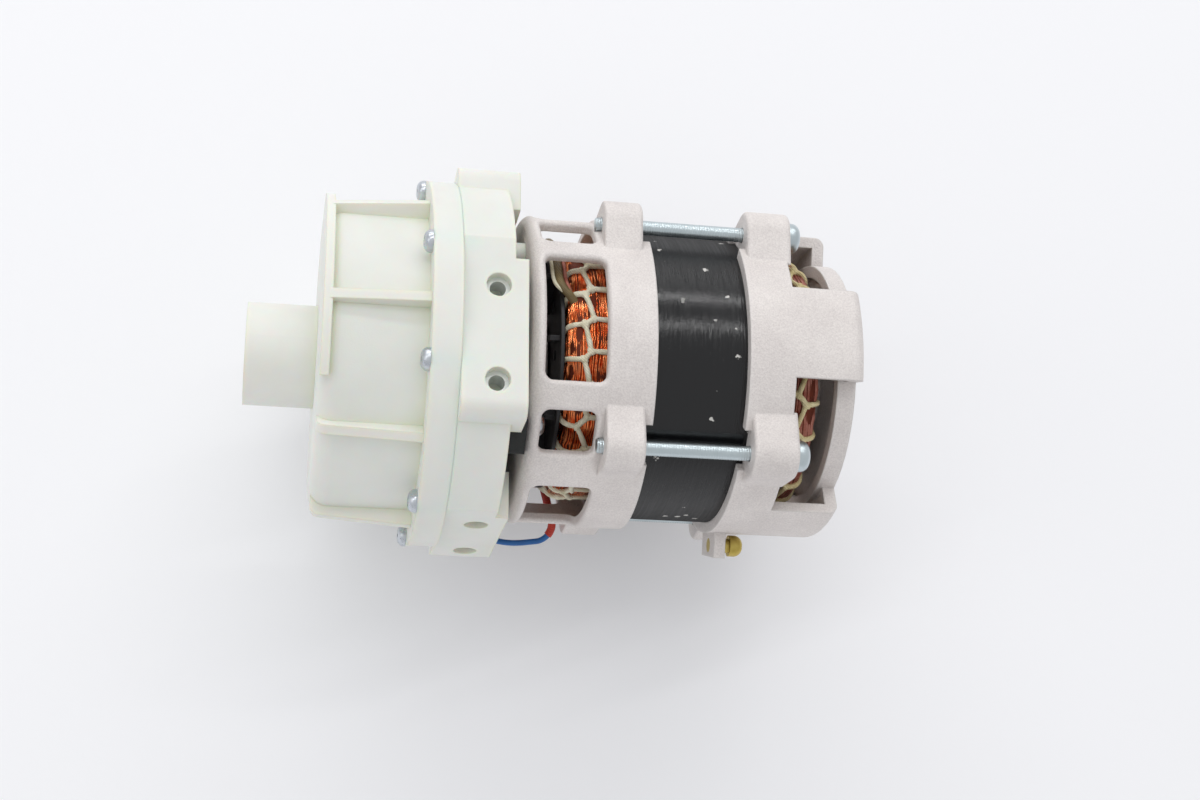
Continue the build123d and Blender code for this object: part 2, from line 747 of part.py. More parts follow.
# Rotor: steel core, cast aluminium end rings with stub blades
rotor_r = STACK_BORE_R - AIR_GAP
save(ring(ROTOR_SHAFT_R, rotor_r, STACK_X, STACK_LENGTH), "rotor_core")


def end_ring(x, way):
    """Cast end ring of the rotor cage with short cooling blades on its outer face."""
    blade_height = END_RING_R - END_RING_INNER_R - 2 * END_RING_BLADE_INSET
    with BuildPart() as made:
        with BuildSketch(Plane.YZ.offset(x)):
            Circle(END_RING_R)
            Circle(END_RING_INNER_R, mode=Mode.SUBTRACT)
        extrude(amount=way * END_RING_LENGTH)
        for k in range(END_RING_BLADES):
            with BuildSketch(across(x + way * END_RING_LENGTH, k * 360 / END_RING_BLADES)):
                with Locations((0, (END_RING_R + END_RING_INNER_R) / 2)):
                    Rectangle(END_RING_BLADE_THICK, blade_height)
            extrude(amount=way * END_RING_BLADE_LENGTH)
    return made.part


save(end_ring(STACK_X, -1), "front_end_ring")
save(end_ring(STACK_END_X, 1), "rear_end_ring")

# Cooling fan: black plastic wheel behind the front bearing's hub
fan_x = SHIELD_X + FAN_FROM_SHIELD
with BuildPart() as cooling_fan:
    with BuildSketch(Plane.YZ.offset(fan_x)):
        Circle(FAN_R)
    extrude(amount=FAN_PLATE)
    with BuildSketch(Plane.YZ.offset(fan_x)):
        Circle(FAN_HUB_R)
    extrude(amount=FAN_HUB_LENGTH)
    for k in range(FAN_BLADES):
        with BuildSketch(across(fan_x, k * 360 / FAN_BLADES)):
            with Locations(Location((0, (FAN_BLADE_FROM_R + FAN_BLADE_TO_R) / 2), FAN_BLADE_SLANT)):
                Rectangle(FAN_BLADE_THICK, FAN_BLADE_TO_R - FAN_BLADE_FROM_R)
        extrude(amount=-FAN_BLADE_LENGTH)
    with BuildSketch(Plane.YZ.offset(fan_x)):
        Circle(ROTOR_SHAFT_R)
        with PolarLocations(FAN_HOLE_RING_R, FAN_BLADES, 180 / FAN_BLADES):
            Circle(FAN_HOLE_R)
    extrude(amount=FAN_HUB_LENGTH, mode=Mode.SUBTRACT)
save(cooling_fan.part, "cooling_fan")

# Stator stack with its slots
with BuildPart() as stator_core:
    with BuildSketch(Plane.YZ.offset(STACK_X)):
        Circle(STACK_R)
        Circle(STACK_BORE_R, mode=Mode.SUBTRACT)
        with PolarLocations((SLOT_INNER_R + SLOT_OUTER_R) / 2, SLOT_COUNT):
            Rectangle(SLOT_OUTER_R - SLOT_INNER_R, SLOT_WIDTH, mode=Mode.SUBTRACT)
        with PolarLocations(SLOT_INNER_R + SLOT_MOUTH_LAP - SLOT_MOUTH_DEPTH / 2, SLOT_COUNT):
            Rectangle(SLOT_MOUTH_DEPTH, SLOT_MOUTH, mode=Mode.SUBTRACT)
    extrude(amount=STACK_LENGTH)
save(stator_core.part, "stator_core")

# Slot liners: a folded paper tube in each slot
liner_outer = SLOT_WIDTH - 2 * LINER_CLEARANCE
liner_height = SLOT_OUTER_R - SLOT_INNER_R - 2 * LINER_CLEARANCE
with BuildPart() as slot_liners:
    with BuildSketch(Plane.YZ.offset(STACK_X - LINER_OVERHANG)):
        with PolarLocations((SLOT_INNER_R + SLOT_OUTER_R) / 2, SLOT_COUNT):
            Rectangle(liner_height, liner_outer)
            Rectangle(liner_height - 2 * LINER_THICK, liner_outer - 2 * LINER_THICK, mode=Mode.SUBTRACT)
    extrude(amount=STACK_LENGTH + 2 * LINER_OVERHANG)
save(slot_liners.part, "slot_liners")

# Winding: coil sides in the slots, joined by a round overhang at each end
bar_width = liner_outer - 2 * LINER_THICK - 2 * LINER_CLEARANCE
bar_height = liner_height - 2 * LINER_THICK - 2 * LINER_CLEARANCE
overhang = COIL_OVERHANG - COIL_FACE_GAP


def overhang_ring(x):
    """Round bundle of wire beyond one end of the stack."""
    with BuildPart() as made:
        with BuildSketch(Plane.XZ):
            with Locations((x + overhang / 2, (COIL_R + COIL_INNER_R) / 2)):
                RectangleRounded(overhang, COIL_R - COIL_INNER_R, COIL_CORNER)
        revolve(axis=Axis.X)
    return made.part


with BuildPart() as winding:
    add(overhang_ring(STACK_X - COIL_OVERHANG))
    add(overhang_ring(STACK_END_X + COIL_FACE_GAP))
    with BuildSketch(Plane.YZ.offset(STACK_X - COIL_FACE_GAP - COIL_CORNER)):
        with PolarLocations((SLOT_INNER_R + SLOT_OUTER_R) / 2, SLOT_COUNT):
            Rectangle(bar_height, bar_width)
    extrude(amount=STACK_LENGTH + 2 * (COIL_FACE_GAP + COIL_CORNER))
save(winding.part, "winding")


def lacing(face, way):
    """Cord net round one overhang: a zigzag line with a tie from each corner over the edge."""
    near = face + way * LACE_LEFT
    far = face + way * LACE_RIGHT
    end = face + way * overhang
    pitch = 360 / SLOT_COUNT
    low = at(near, COIL_R, 0)
    high = at(far, COIL_R, LACE_SHIFT * pitch)
    next_low = at(near, COIL_R, pitch)
    with BuildPart() as cell:
        for start, stop in ((low, high), (high, next_low)):
            run = Vector(*stop) - Vector(*start)
            with BuildSketch(Plane(origin=start, z_dir=run)):
                Circle(LACE_R)
            extrude(amount=run.length)
        with Locations(low, high):
            Sphere(LACE_R)
        for corner, edge, turn in ((near, face, 0), (far, end, LACE_SHIFT * pitch)):
            with BuildLine(along(turn)) as tie:
                FilletPolyline(
                    (corner, COIL_R),
                    (edge, COIL_R),
                    (edge, COIL_R - COIL_CORNER - LACE_TURN_IN),
                    radius=[COIL_CORNER],
                )
            with BuildSketch(Plane(origin=tie.line @ 0, z_dir=tie.line % 0)):
                Circle(LACE_R)
            sweep(path=tie.line)
    with BuildPart() as made:
        add([cell.part.rotate(Axis.X, k * pitch) for k in range(SLOT_COUNT)])
        add(overhang_ring(min(face, end)), mode=Mode.SUBTRACT)
    return made.part


save(lacing(STACK_X - COIL_OVERHANG, 1), "front_lacing")
save(lacing(STACK_END_X + COIL_OVERHANG, -1), "rear_lacing")


def lug_section(x, angle):
    """Outline of a bolt lug: round about its tie bolt, with straight sides down into the shell's wall."""
    with BuildSketch(across(x, angle)) as outline:
        with Locations((0, BOLT_RING_R)):
            Circle(LUG_TOP_R)
        with Locations((0, LUG_ROOT_R)):
            Rectangle(2 * LUG_ROOT_HALF, LUG_ROOT_HEIGHT)
        make_hull(outline.edges())
        Circle(LUG_INNER_R, mode=Mode.SUBTRACT)
    return outline.sketch


def lug_rims(shield, x):
    """Edges round the lugs' end faces at x, outside the shell."""
    low, high = x - EDGE_MARGIN, x + EDGE_MARGIN
    return edges_at(shield, low, high, SHIELD_R + CUT_OVERLAP, LUG_R + CUT_OVERLAP)


# Front end shield: die-cast cup with windows, four lugs and the front bearing's seat
with BuildPart() as front_shield:
    with BuildSketch(Plane.XZ):
        with BuildLine():
            Polyline(
                (SHIELD_X, BEARING_R - BEARING_STOP),
                (SHIELD_X, SHIELD_R - SHIELD_CORNER),
            )
            RadiusArc(
                (SHIELD_X, SHIELD_R - SHIELD_CORNER),
                (SHIELD_X + SHIELD_CORNER, SHIELD_R),
                SHIELD_CORNER,
            )
            Polyline(
                (SHIELD_X + SHIELD_CORNER, SHIELD_R),
                (SHIELD_END_X, SHIELD_R),
                (SHIELD_END_X, STACK_R),
                (STACK_X, STACK_R),
                (STACK_X, LEDGE_R),
                (STACK_X - SHIELD_LEDGE, LEDGE_R),
                (STACK_X - SHIELD_LEDGE, SHIELD_INNER_R),
                (SHIELD_X + SHIELD_PLATE, SHIELD_INNER_R),
                (SHIELD_X + SHIELD_PLATE, BEARING_HUB_R),
                (FRONT_BEARING_X + BEARING_WIDTH, BEARING_HUB_R),
                (FRONT_BEARING_X + BEARING_WIDTH, BEARING_R),
                (FRONT_BEARING_X, BEARING_R),
                (FRONT_BEARING_X, BEARING_R - BEARING_STOP),
                (SHIELD_X, BEARING_R - BEARING_STOP),
            )
        make_face()
    revolve(axis=Axis.X)
    window_x = SHIELD_X + WINDOW_FROM_FRONT
    for angle, half in WINDOWS:
        wide = 2 * SHIELD_R * math.sin(math.radians(half))
        with BuildSketch(outwards(window_x + WINDOW_LENGTH / 2, angle + MOTOR_ROLL, WINDOW_FLOOR_R)):
            RectangleRounded(WINDOW_LENGTH, wide, WINDOW_CORNER)
        extrude(amount=SHIELD_R, mode=Mode.SUBTRACT)
    for angle in LUG_WINDOW_ANGLES:
        wide = 2 * SHIELD_R * math.sin(math.radians(LUG_WINDOW_HALF))
        with BuildSketch(outwards(window_x + LUG_WINDOW_LENGTH / 2, angle, LUG_WINDOW_FLOOR_R)):
            RectangleRounded(LUG_WINDOW_LENGTH, wide, WINDOW_CORNER)
        extrude(amount=SHIELD_R, mode=Mode.SUBTRACT)
    window_rims = edges_at(
        front_shield,
        window_x - EDGE_MARGIN,
        window_x + WINDOW_LENGTH + EDGE_MARGIN,
        SHIELD_R - EDGE_MARGIN,
        SHIELD_R + EDGE_MARGIN,
    )
    fillet(window_rims, WINDOW_ROUND)
    for angle in BOLT_ANGLES:
        extrude(lug_section(LUG_X, angle), amount=LUG_LENGTH)
    for x, rounding in ((LUG_X, LUG_FACE_ROUND), (LUG_END_X, LUG_ROUND)):
        fillet(lug_rims(front_shield, x), rounding)
    for angle in BOLT_ANGLES:
        with BuildSketch(Plane.YZ.offset(LUG_END_X)):
            with BuildLine():
                Polyline(*sector_points(STACK_R - CUT_OVERLAP, LUG_R, angle, LUG_NOTCH_HALF), close=True)
            make_face()
        extrude(amount=LUG_SETBACK, mode=Mode.SUBTRACT)
        with BuildSketch(Plane.YZ.offset(LUG_X - BOLT_END)):
            with Locations(polar(BOLT_RING_R, angle)):
                Circle(BOLT_R + BOLT_CLEARANCE)
        extrude(amount=LUG_LENGTH + BOLT_END, mode=Mode.SUBTRACT)
        with BuildSketch(Plane.YZ.offset(SHIELD_X)):
            with Locations(polar(BOSS_RING_R, angle)):
                Circle(BODY_SCREW_R + SCREW_CLEARANCE)
        extrude(amount=SHIELD_PLATE, mode=Mode.SUBTRACT)
save(front_shield.part, "front_shield")

# Rear end shield: skirt on the stack, four wide arms, a closed end plate and the rear bearing's seat
with BuildPart() as rear_shield:
    with BuildSketch(Plane.XZ):
        with BuildLine():
            Polyline(
                (REAR_X, STACK_R),
                (REAR_X, SHIELD_R),
                (REAR_END_X - REAR_CORNER, SHIELD_R),
            )
            RadiusArc(
                (REAR_END_X - REAR_CORNER, SHIELD_R),
                (REAR_END_X, SHIELD_R - REAR_CORNER),
                REAR_CORNER,
            )
            Polyline(
                (REAR_END_X, SHIELD_R - REAR_CORNER),
                (REAR_END_X, 0),
                (REAR_END_X - SHIELD_PLATE + WAVE_WASHER_THICK, 0),
                (REAR_END_X - SHIELD_PLATE + WAVE_WASHER_THICK, BEARING_R),
                (REAR_BEARING_X, BEARING_R),
                (REAR_BEARING_X, BEARING_HUB_R),
                (REAR_END_X - SHIELD_PLATE, BEARING_HUB_R),
                (REAR_END_X - SHIELD_PLATE, SHIELD_INNER_R),
                (STACK_END_X + SHIELD_LEDGE, SHIELD_INNER_R),
                (STACK_END_X + SHIELD_LEDGE, LEDGE_R),
                (STACK_END_X, LEDGE_R),
                (STACK_END_X, STACK_R),
                (REAR_X, STACK_R),
            )
        make_face()
    revolve(axis=Axis.X)
    with BuildSketch(Plane.YZ.offset(REAR_END_X - REAR_RING_LENGTH)):
        Circle(REAR_RING_R)
        Circle(REAR_RING_INNER_R, mode=Mode.SUBTRACT)
    extrude(amount=REAR_RING_LENGTH)
    for angle in BOLT_ANGLES:
        half = BOLT_ANGLE - REAR_ARM_HALF
        with BuildSketch(Plane.YZ.offset(REAR_X + REAR_SKIRT)):
            with BuildLine():
                Polyline(*sector_points(REAR_RING_R, LUG_R, angle, half), close=True)
            make_face()
        extrude(amount=REAR_LENGTH, mode=Mode.SUBTRACT)
        with BuildSketch(Plane.YZ.offset(REAR_X + REAR_SKIRT)):
            with BuildLine():
                Polyline(*sector_points(REAR_RING_INNER_R, REAR_RING_R, angle, half), close=True)
            make_face()
        extrude(amount=REAR_LENGTH - REAR_SKIRT - REAR_RING_LENGTH, mode=Mode.SUBTRACT)
    for angle in BOLT_ANGLES:
        extrude(lug_section(REAR_LUG_X, angle), amount=REAR_LUG_LENGTH)
    for x in (REAR_LUG_X, REAR_LUG_END_X):
        fillet(lug_rims(rear_shield, x), LUG_ROUND)
    for angle in BOLT_ANGLES:
        with BuildSketch(Plane.YZ.offset(REAR_X)):
            with BuildLine():
                Polyline(*sector_points(STACK_R - CUT_OVERLAP, LUG_R, angle, LUG_NOTCH_HALF), close=True)
            make_face()
        extrude(amount=REAR_LUG_SETBACK, mode=Mode.SUBTRACT)
        with BuildSketch(Plane.YZ.offset(REAR_LUG_X)):
            with Locations(polar(BOLT_RING_R, angle)):
                Circle(BOLT_R + BOLT_CLEARANCE)
        extrude(amount=REAR_LUG_LENGTH, mode=Mode.SUBTRACT)
    with BuildSketch(across(REAR_LUG_X, EARTH_ANGLE)):
        with Locations((0, (EARTH_TAB_R + EARTH_TAB_ROOT_R) / 2)):
            Rectangle(EARTH_TAB_WIDTH, EARTH_TAB_R - EARTH_TAB_ROOT_R)
    extrude(amount=EARTH_TAB_THICK)
    with BuildSketch(across(REAR_LUG_X, EARTH_ANGLE)):
        with Locations((0, EARTH_SCREW_RING_R)):
            Circle(EARTH_SCREW_R)
    extrude(amount=EARTH_TAB_THICK, mode=Mode.SUBTRACT)
save(rear_shield.part, "rear_shield")

# Earth screw and washer on the rear shield's tab
tab_back_x = REAR_LUG_X + EARTH_TAB_THICK
with BuildPart() as earth_washer:
    with BuildSketch(Plane.YZ.offset(tab_back_x)):
        with Locations(polar(EARTH_SCREW_RING_R, EARTH_ANGLE)):
            Circle(EARTH_WASHER_R)
            Circle(EARTH_SCREW_R, mode=Mode.SUBTRACT)
    extrude(amount=EARTH_WASHER)
save(earth_washer.part, "earth_washer")
save(
    pan_screw(
        tab_back_x + EARTH_WASHER + EARTH_SCREW_GAP,
        EARTH_SCREW_RING_R,
        EARTH_ANGLE,
        EARTH_SCREW_R,
        EARTH_TAB_THICK + EARTH_WASHER + EARTH_SCREW_GAP,
        EARTH_SCREW_HEAD_R,
        EARTH_SCREW_HEAD,
        -1,
    ),
    "earth_screw",
)

# Ball bearings: rings with a groove each, balls and thin shields
race_r = BALL_R + BALL_CLEARANCE


def bearing_ring(x, inner, outer):
    """One ring of a bearing, with the groove that the balls run in."""
    with BuildPart() as made:
        with BuildSketch(Plane.YZ.offset(x)):
            Circle(outer)
            Circle(inner, mode=Mode.SUBTRACT)
        extrude(amount=BEARING_WIDTH)
        with BuildSketch(Plane.XZ):
            with Locations((x + BEARING_WIDTH / 2, BALL_PITCH_R)):
                Circle(race_r)
        revolve(axis=Axis.X, mode=Mode.SUBTRACT)
    return made.part


def bearing_balls(x):
    """The set of balls of one bearing."""
    balls = []
    for k in range(BALL_COUNT):
        y, z = polar(BALL_PITCH_R, BALL_TURN + k * 360 / BALL_COUNT)
        balls.append(Pos(x + BEARING_WIDTH / 2, y, z) * Sphere(BALL_R))
    return Compound(balls)


def bearing_cage(x):
    """Thin ring with a round pocket for each ball."""
    with BuildPart() as made:
        with BuildSketch(Plane.YZ.offset(x + (BEARING_WIDTH - CAGE_WIDTH) / 2)):
            Circle(CAGE_OUTER_R)
            Circle(CAGE_INNER_R, mode=Mode.SUBTRACT)
        extrude(amount=CAGE_WIDTH)
        for k in range(BALL_COUNT):
            with Locations(at(x + BEARING_WIDTH / 2, BALL_PITCH_R, BALL_TURN + k * 360 / BALL_COUNT)):
                Sphere(race_r, mode=Mode.SUBTRACT)
    return made.part


for name, x in (("front", FRONT_BEARING_X), ("rear", REAR_BEARING_X)):
    outer_land = BALL_PITCH_R + RACE_GAP_HALF
    inner_land = BALL_PITCH_R - RACE_GAP_HALF
    save(bearing_ring(x, outer_land, BEARING_R), name + "_bearing_outer_ring")
    save(bearing_ring(x, SHAFT_R, inner_land), name + "_bearing_inner_ring")
    save(bearing_balls(x), name + "_bearing_balls")
    save(bearing_cage(x), name + "_bearing_cage")
    plates = [
        ring(inner_land + BEARING_SHIELD_GAP, outer_land, x + shift, BEARING_SHIELD_THICK)
        for shift in (BEARING_SHIELD_INSET, BEARING_WIDTH - BEARING_SHIELD_THICK - BEARING_SHIELD_INSET)
    ]
    save(Compound(plates), name + "_bearing_seals")
washer_x = REAR_BEARING_X + BEARING_WIDTH
save(
    ring(BEARING_R - BEARING_STOP, BEARING_R - WAVE_WASHER_GAP, washer_x, WAVE_WASHER_THICK),
    "wave_washer",
)

# Rubber buffer pressed between the pump body's back and the motor's front shield
with BuildPart() as buffer_block:
    with BuildSketch(across(BODY_BACK_X, BUFFER_ANGLE)):
        with Locations((0, (BUFFER_INNER_R + BUFFER_OUTER_R) / 2)):
            RectangleRounded(BUFFER_WIDTH, BUFFER_OUTER_R - BUFFER_INNER_R, BUFFER_ROUND)
    extrude(amount=MOTOR_GAP)
save(buffer_block.part, "buffer_block")

# Lead plug: flat plastic plug seated on the pump body's round edge
plug_r = FLANGE_R + PLUG_HEIGHT / 2
plug_end_x = BODY_BACK_X - PLUG_SETBACK
with BuildPart() as lead_plug:
    with BuildSketch(across(plug_end_x - PLUG_LENGTH, PLUG_ANGLE)):
        with Locations((0, plug_r - PLUG_SINK / 2)):
            RectangleRounded(PLUG_WIDTH, PLUG_HEIGHT + PLUG_SINK, PLUG_ROUND)
    extrude(amount=PLUG_LENGTH)
    with BuildSketch(Plane.YZ.offset(plug_end_x - PLUG_LENGTH)):
        Circle(FLANGE_R)
    extrude(amount=PLUG_LENGTH, mode=Mode.SUBTRACT)
    with BuildSketch(across(plug_end_x - PLUG_SOCKET, PLUG_ANGLE)):
        with Locations((0, plug_r)):
            Circle(LEAD_R + LEAD_CLEARANCE)
    extrude(amount=PLUG_SOCKET, mode=Mode.SUBTRACT)
save(lead_plug.part, "lead_plug")


def bend_radii(points):
    """Largest plain bend at each corner, taking a set share of the shorter run beside it."""
    radii = []
    for before, corner, after in zip(points, points[1:], points[2:]):
        way_in = Vector(*corner) - Vector(*before)
        way_out = Vector(*after) - Vector(*corner)
        half_turn = math.radians(way_in.get_angle(way_out)) / 2
        radii.append(BEND_SHARE * min(way_in.length, way_out.length) / math.tan(half_turn))
    return radii


# Blue lead: out of the plug, along the motor, and through a shield window to the winding
route = [
    at(plug_end_x - PLUG_SOCKET, plug_r, PLUG_ANGLE),
    at(plug_end_x + PLUG_SOCKET, plug_r, PLUG_ANGLE),
    at(*LEAD_SAG),
    at(*SLEEVE_CORNER),
    at(*SLEEVE_END),
]
radii = bend_radii(route)
radii[-1] = SLEEVE_BEND_R
with BuildLine() as lead_line:
    FilletPolyline(*route, radius=radii)
lead_runs = lead_line.wires()[0].edges()
lead_length = round(lead_line.wires()[0].length, 1)
print("lead bend radii:", [round(r, 1) for r in radii], "length:", lead_length)
with BuildPart() as blue_lead:
    with BuildSketch(Plane(origin=lead_runs[0] @ 0, z_dir=lead_runs[0] % 0)):
        Circle(LEAD_R)
    sweep(path=lead_line.wires()[0])
save(blue_lead.part, "blue_lead")

# Red sleeve over the lead, from the bend to the winding
sleeve_bend = lead_runs[-2].trim(SLEEVE_FROM, 1)
sleeve_path = Wire([sleeve_bend, lead_runs[-1]])
with BuildPart() as lead_sleeve:
    with BuildSketch(Plane(origin=sleeve_bend @ 0, z_dir=sleeve_bend % 0)):
        Circle(SLEEVE_R)
        Circle(LEAD_R, mode=Mode.SUBTRACT)
    sweep(path=sleeve_path)
save(lead_sleeve.part, "lead_sleeve")
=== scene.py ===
import math
import random

import bpy
from mathutils import Matrix, Vector


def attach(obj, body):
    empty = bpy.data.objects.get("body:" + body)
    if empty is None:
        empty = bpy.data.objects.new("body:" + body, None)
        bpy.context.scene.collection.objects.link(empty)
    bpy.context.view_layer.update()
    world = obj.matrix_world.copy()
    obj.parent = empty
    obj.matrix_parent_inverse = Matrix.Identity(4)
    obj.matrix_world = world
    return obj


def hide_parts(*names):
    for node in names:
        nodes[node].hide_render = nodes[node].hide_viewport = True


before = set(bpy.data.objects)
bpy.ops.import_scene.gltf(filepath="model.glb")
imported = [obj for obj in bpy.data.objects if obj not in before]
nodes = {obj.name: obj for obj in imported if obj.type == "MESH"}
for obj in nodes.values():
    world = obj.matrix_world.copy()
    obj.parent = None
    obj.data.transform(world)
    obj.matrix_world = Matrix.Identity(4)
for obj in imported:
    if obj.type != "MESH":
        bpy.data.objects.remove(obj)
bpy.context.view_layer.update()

# Camera: above the pump and a little in front of it, with a long lens.
# It is tilted so that the shaft runs slightly down to the right of the picture.
AIM = Vector((0.0946, 0.0, 0.0))
LEAN, TURN, ROLL = math.radians(20.7), math.radians(10.28), math.radians(3.3)
DISTANCE, OFF_RIGHT, OFF_UP = 0.4975, 0.00311, -0.00732
toward = Vector((0, -math.sin(LEAN), math.cos(LEAN)))
above = Vector((0, math.cos(LEAN), math.sin(LEAN)))
level = math.cos(TURN) * Vector((1, 0, 0)) + math.sin(TURN) * toward
right = math.cos(ROLL) * level + math.sin(ROLL) * above
up = math.cos(ROLL) * above - math.sin(ROLL) * level
back = math.cos(TURN) * toward - math.sin(TURN) * Vector((1, 0, 0))
FOCAL_MM, FILM_MM = 53.25, 36.0
NEAREST, FARTHEST = 0.01, 50.0
lens = bpy.data.cameras.new("camera")
lens.lens, lens.sensor_width = FOCAL_MM, FILM_MM
lens.clip_start, lens.clip_end = NEAREST, FARTHEST
camera = bpy.data.objects.new("camera", lens)
camera.matrix_world = Matrix.Translation(
    AIM + OFF_RIGHT * right + OFF_UP * up + DISTANCE * back
) @ Matrix((right, up, back)).transposed().to_4x4()
bpy.context.collection.objects.link(camera)
bpy.context.scene.camera = camera
bpy.context.scene.view_settings.view_transform = "Standard"

# White pump parts: cover, body and lead plug, moulded in natural polypropylene.
# The plastic is milky, with a fine spark-eroded skin; a lighter, yellow-tinted painted highlight runs
# along its edges and a yellow-green painted shade darkens its corners.
class Wire:
    """A value inside a material. Sums on it add the nodes that work them out."""

    def __init__(self, tree, socket):
        self.tree, self.socket = tree, socket

    def sum(self, operation, *values):
        node = self.tree.nodes.new("ShaderNodeMath")
        node.operation = operation
        for place, value in zip(node.inputs, values):
            if isinstance(value, Wire):
                self.tree.links.new(value.socket, place)
            else:
                place.default_value = value
        return Wire(self.tree, node.outputs[0])

    def __add__(self, other):
        return self.sum("ADD", self, other)

    def __sub__(self, other):
        return self.sum("SUBTRACT", self, other)

    def __rsub__(self, other):
        return self.sum("SUBTRACT", other, self)

    def __mul__(self, other):
        return self.sum("MULTIPLY", self, other)

    def __truediv__(self, other):
        return self.sum("DIVIDE", self, other)

    def __rtruediv__(self, other):
        return self.sum("DIVIDE", other, self)

    __radd__ = __add__
    __rmul__ = __mul__


class Finish:
    """A material: put() adds any node, paint() sets the shader's sockets."""

    def __init__(self, name, **sockets):
        self.material = bpy.data.materials.new(name)
        self.material.use_nodes = True
        self.tree = self.material.node_tree
        self.shader = self.tree.nodes["Principled BSDF"]
        self.place = self.put("TexCoord", output="Object")
        self.paint(**sockets)

    def plug(self, socket, value):
        if isinstance(value, Wire):
            self.tree.links.new(value.socket, socket)
        else:
            socket.default_value = value

    def put(self, kind, settings=None, output=0, values=(), **sockets):
        node = self.tree.nodes.new("ShaderNode" + kind)
        for key, value in (settings or {}).items():
            if key == "stops":
                ramp = node.color_ramp
                while len(ramp.elements) < len(value):
                    ramp.elements.new(1.0)
                for stop, (spot, colour) in zip(ramp.elements, value):
                    stop.position, stop.color = spot, colour
            else:
                setattr(node, key, value)
        for place, value in zip(node.inputs, values):
            self.plug(place, value)
        for key, value in sockets.items():
            self.plug(node.inputs[key.replace("_", " ")], value)
        return Wire(self.tree, node.outputs[output])

    def noise(self, scale, detail=3.0, rough=0.5, stretch=(1, 1, 1)):
        spot = self.put("Mapping", Vector=self.place, Scale=stretch)
        return self.put("TexNoise", Vector=spot, Scale=scale, Detail=detail, Roughness=rough)

    def ramp(self, value, low, high):
        return self.put("MapRange", {"clamp": True}, Value=value, From_Min=low, From_Max=high)

    def mix(self, factor, first, second):
        node = self.tree.nodes.new("ShaderNodeMix")
        node.data_type = "RGBA"
        for index, value in ((0, factor), (6, first), (7, second)):
            self.plug(node.inputs[index], value)
        return Wire(self.tree, node.outputs[2])

    def bump(self, height, strength, distance, rounding=0.0):
        sockets = {"Height": height, "Strength": strength, "Distance": distance}
        if rounding:
            sockets["Normal"] = self.put("Bevel", {"samples": 6}, Radius=rounding)
        self.paint(Normal=self.put("Bump", **sockets))

    def edge(self, radius):
        """Near 1 at a sharp edge, 0 on a flat face."""
        soft = self.put("Bevel", {"samples": 6}, Radius=radius)
        face = self.put("NewGeometry", output="Normal")
        match = self.put("VectorMath", {"operation": "DOT_PRODUCT"}, "Value", [soft, face])
        return self.ramp(match, 0.995, 0.86)

    def corner(self, reach):
        """Near 1 deep in a hollow, 0 on an open face: the mask for painted shade."""
        open_sky = self.put("AmbientOcclusion", {"samples": 8, "only_local": True}, "AO", Distance=reach)
        return self.ramp(open_sky, 0.85, 0.25)

    def paint(self, **sockets):
        for key, value in sockets.items():
            self.plug(self.shader.inputs[key.replace("_", " ")], value)

    def cover(self, *names):
        for name in names:
            obj = nodes[name] if name in nodes else bpy.data.objects[name]
            obj.data.materials.clear()
            obj.data.materials.append(self.material)


def rgb(red, green, blue):
    """A colour as it looks on the screen, from 0 to 255."""
    shares = (red / 255, green / 255, blue / 255)
    return tuple(((c + 0.055) / 1.055) ** 2.4 if c > 0.04 else c / 12.92 for c in shares) + (1.0,)


white = Finish(
    "white_plastic", IOR=1.49, Specular_IOR_Level=0.4,
    Subsurface_Weight=0.3, Subsurface_Scale=0.003,
)
skin = white.noise(2600.0, 4.0, 0.6)
cloud = white.noise(38.0, 3.0, 0.55)
tone = white.mix(white.ramp(cloud, 0.35, 0.7), rgb(229, 230, 223), rgb(236, 237, 231))
# Painted highlight: the edges are lightened and tinted yellow.
tone = white.mix(white.edge(0.0022) * 0.7, tone, rgb(238, 239, 219))
# Painted shade: hollows and corners are darkened to a yellow-green.
tone = white.mix(white.corner(0.007) * 0.5, tone, rgb(220, 223, 194))
white.paint(Base_Color=tone, Roughness=0.4 + 0.14 * cloud)
white.bump(skin + 0.6 * white.noise(500.0, 2.0), 0.12, 0.0003, rounding=0.0006)
white.cover("volute_cover", "pump_body", "lead_plug")

# End shields: aluminium castings, blasted to a pale warm grey.
# The skin is grainy, the edges are rubbed brighter, and painted shade darkens the hollows.
cast = Finish("cast_aluminium", Metallic=0.28)
grain = cast.noise(2100.0, 5.0, 0.65)
blotch = cast.noise(75.0, 4.0, 0.6)
speck = cast.put("TexVoronoi", {"feature": "F1"}, Vector=cast.place, Scale=1500.0)
rub = cast.edge(0.0014)
grey = cast.mix(cast.ramp(grain + 0.5 * blotch, 0.55, 0.95), rgb(213, 206, 203), rgb(238, 232, 228))
grey = cast.mix(rub * 0.5, grey, rgb(238, 234, 230))
# Painted shade: hollows are darkened to a deeper grey.
grey = cast.mix(cast.corner(0.006) * 0.55, grey, rgb(150, 140, 136))
cast.paint(Base_Color=grey, Roughness=0.5 + 0.25 * grain)
cast.bump(grain + 0.5 * speck, 0.42, 0.00035, rounding=0.0007)
cast.cover("front_shield", "rear_shield")

# Rotor end rings: the aluminium that is die cast round each end of the rotor's steel.
# It shows the die's smooth skin, duller than the shields.
ring_cast = Finish("end_ring_aluminium", Metallic=0.8, Roughness=0.5)
ring_cast.paint(Base_Color=ring_cast.mix(ring_cast.noise(300.0), rgb(150, 150, 150), rgb(185, 184, 182)))
ring_cast.bump(ring_cast.noise(1200.0), 0.25, 0.0003, rounding=0.0004)
ring_cast.cover("front_end_ring", "rear_end_ring")

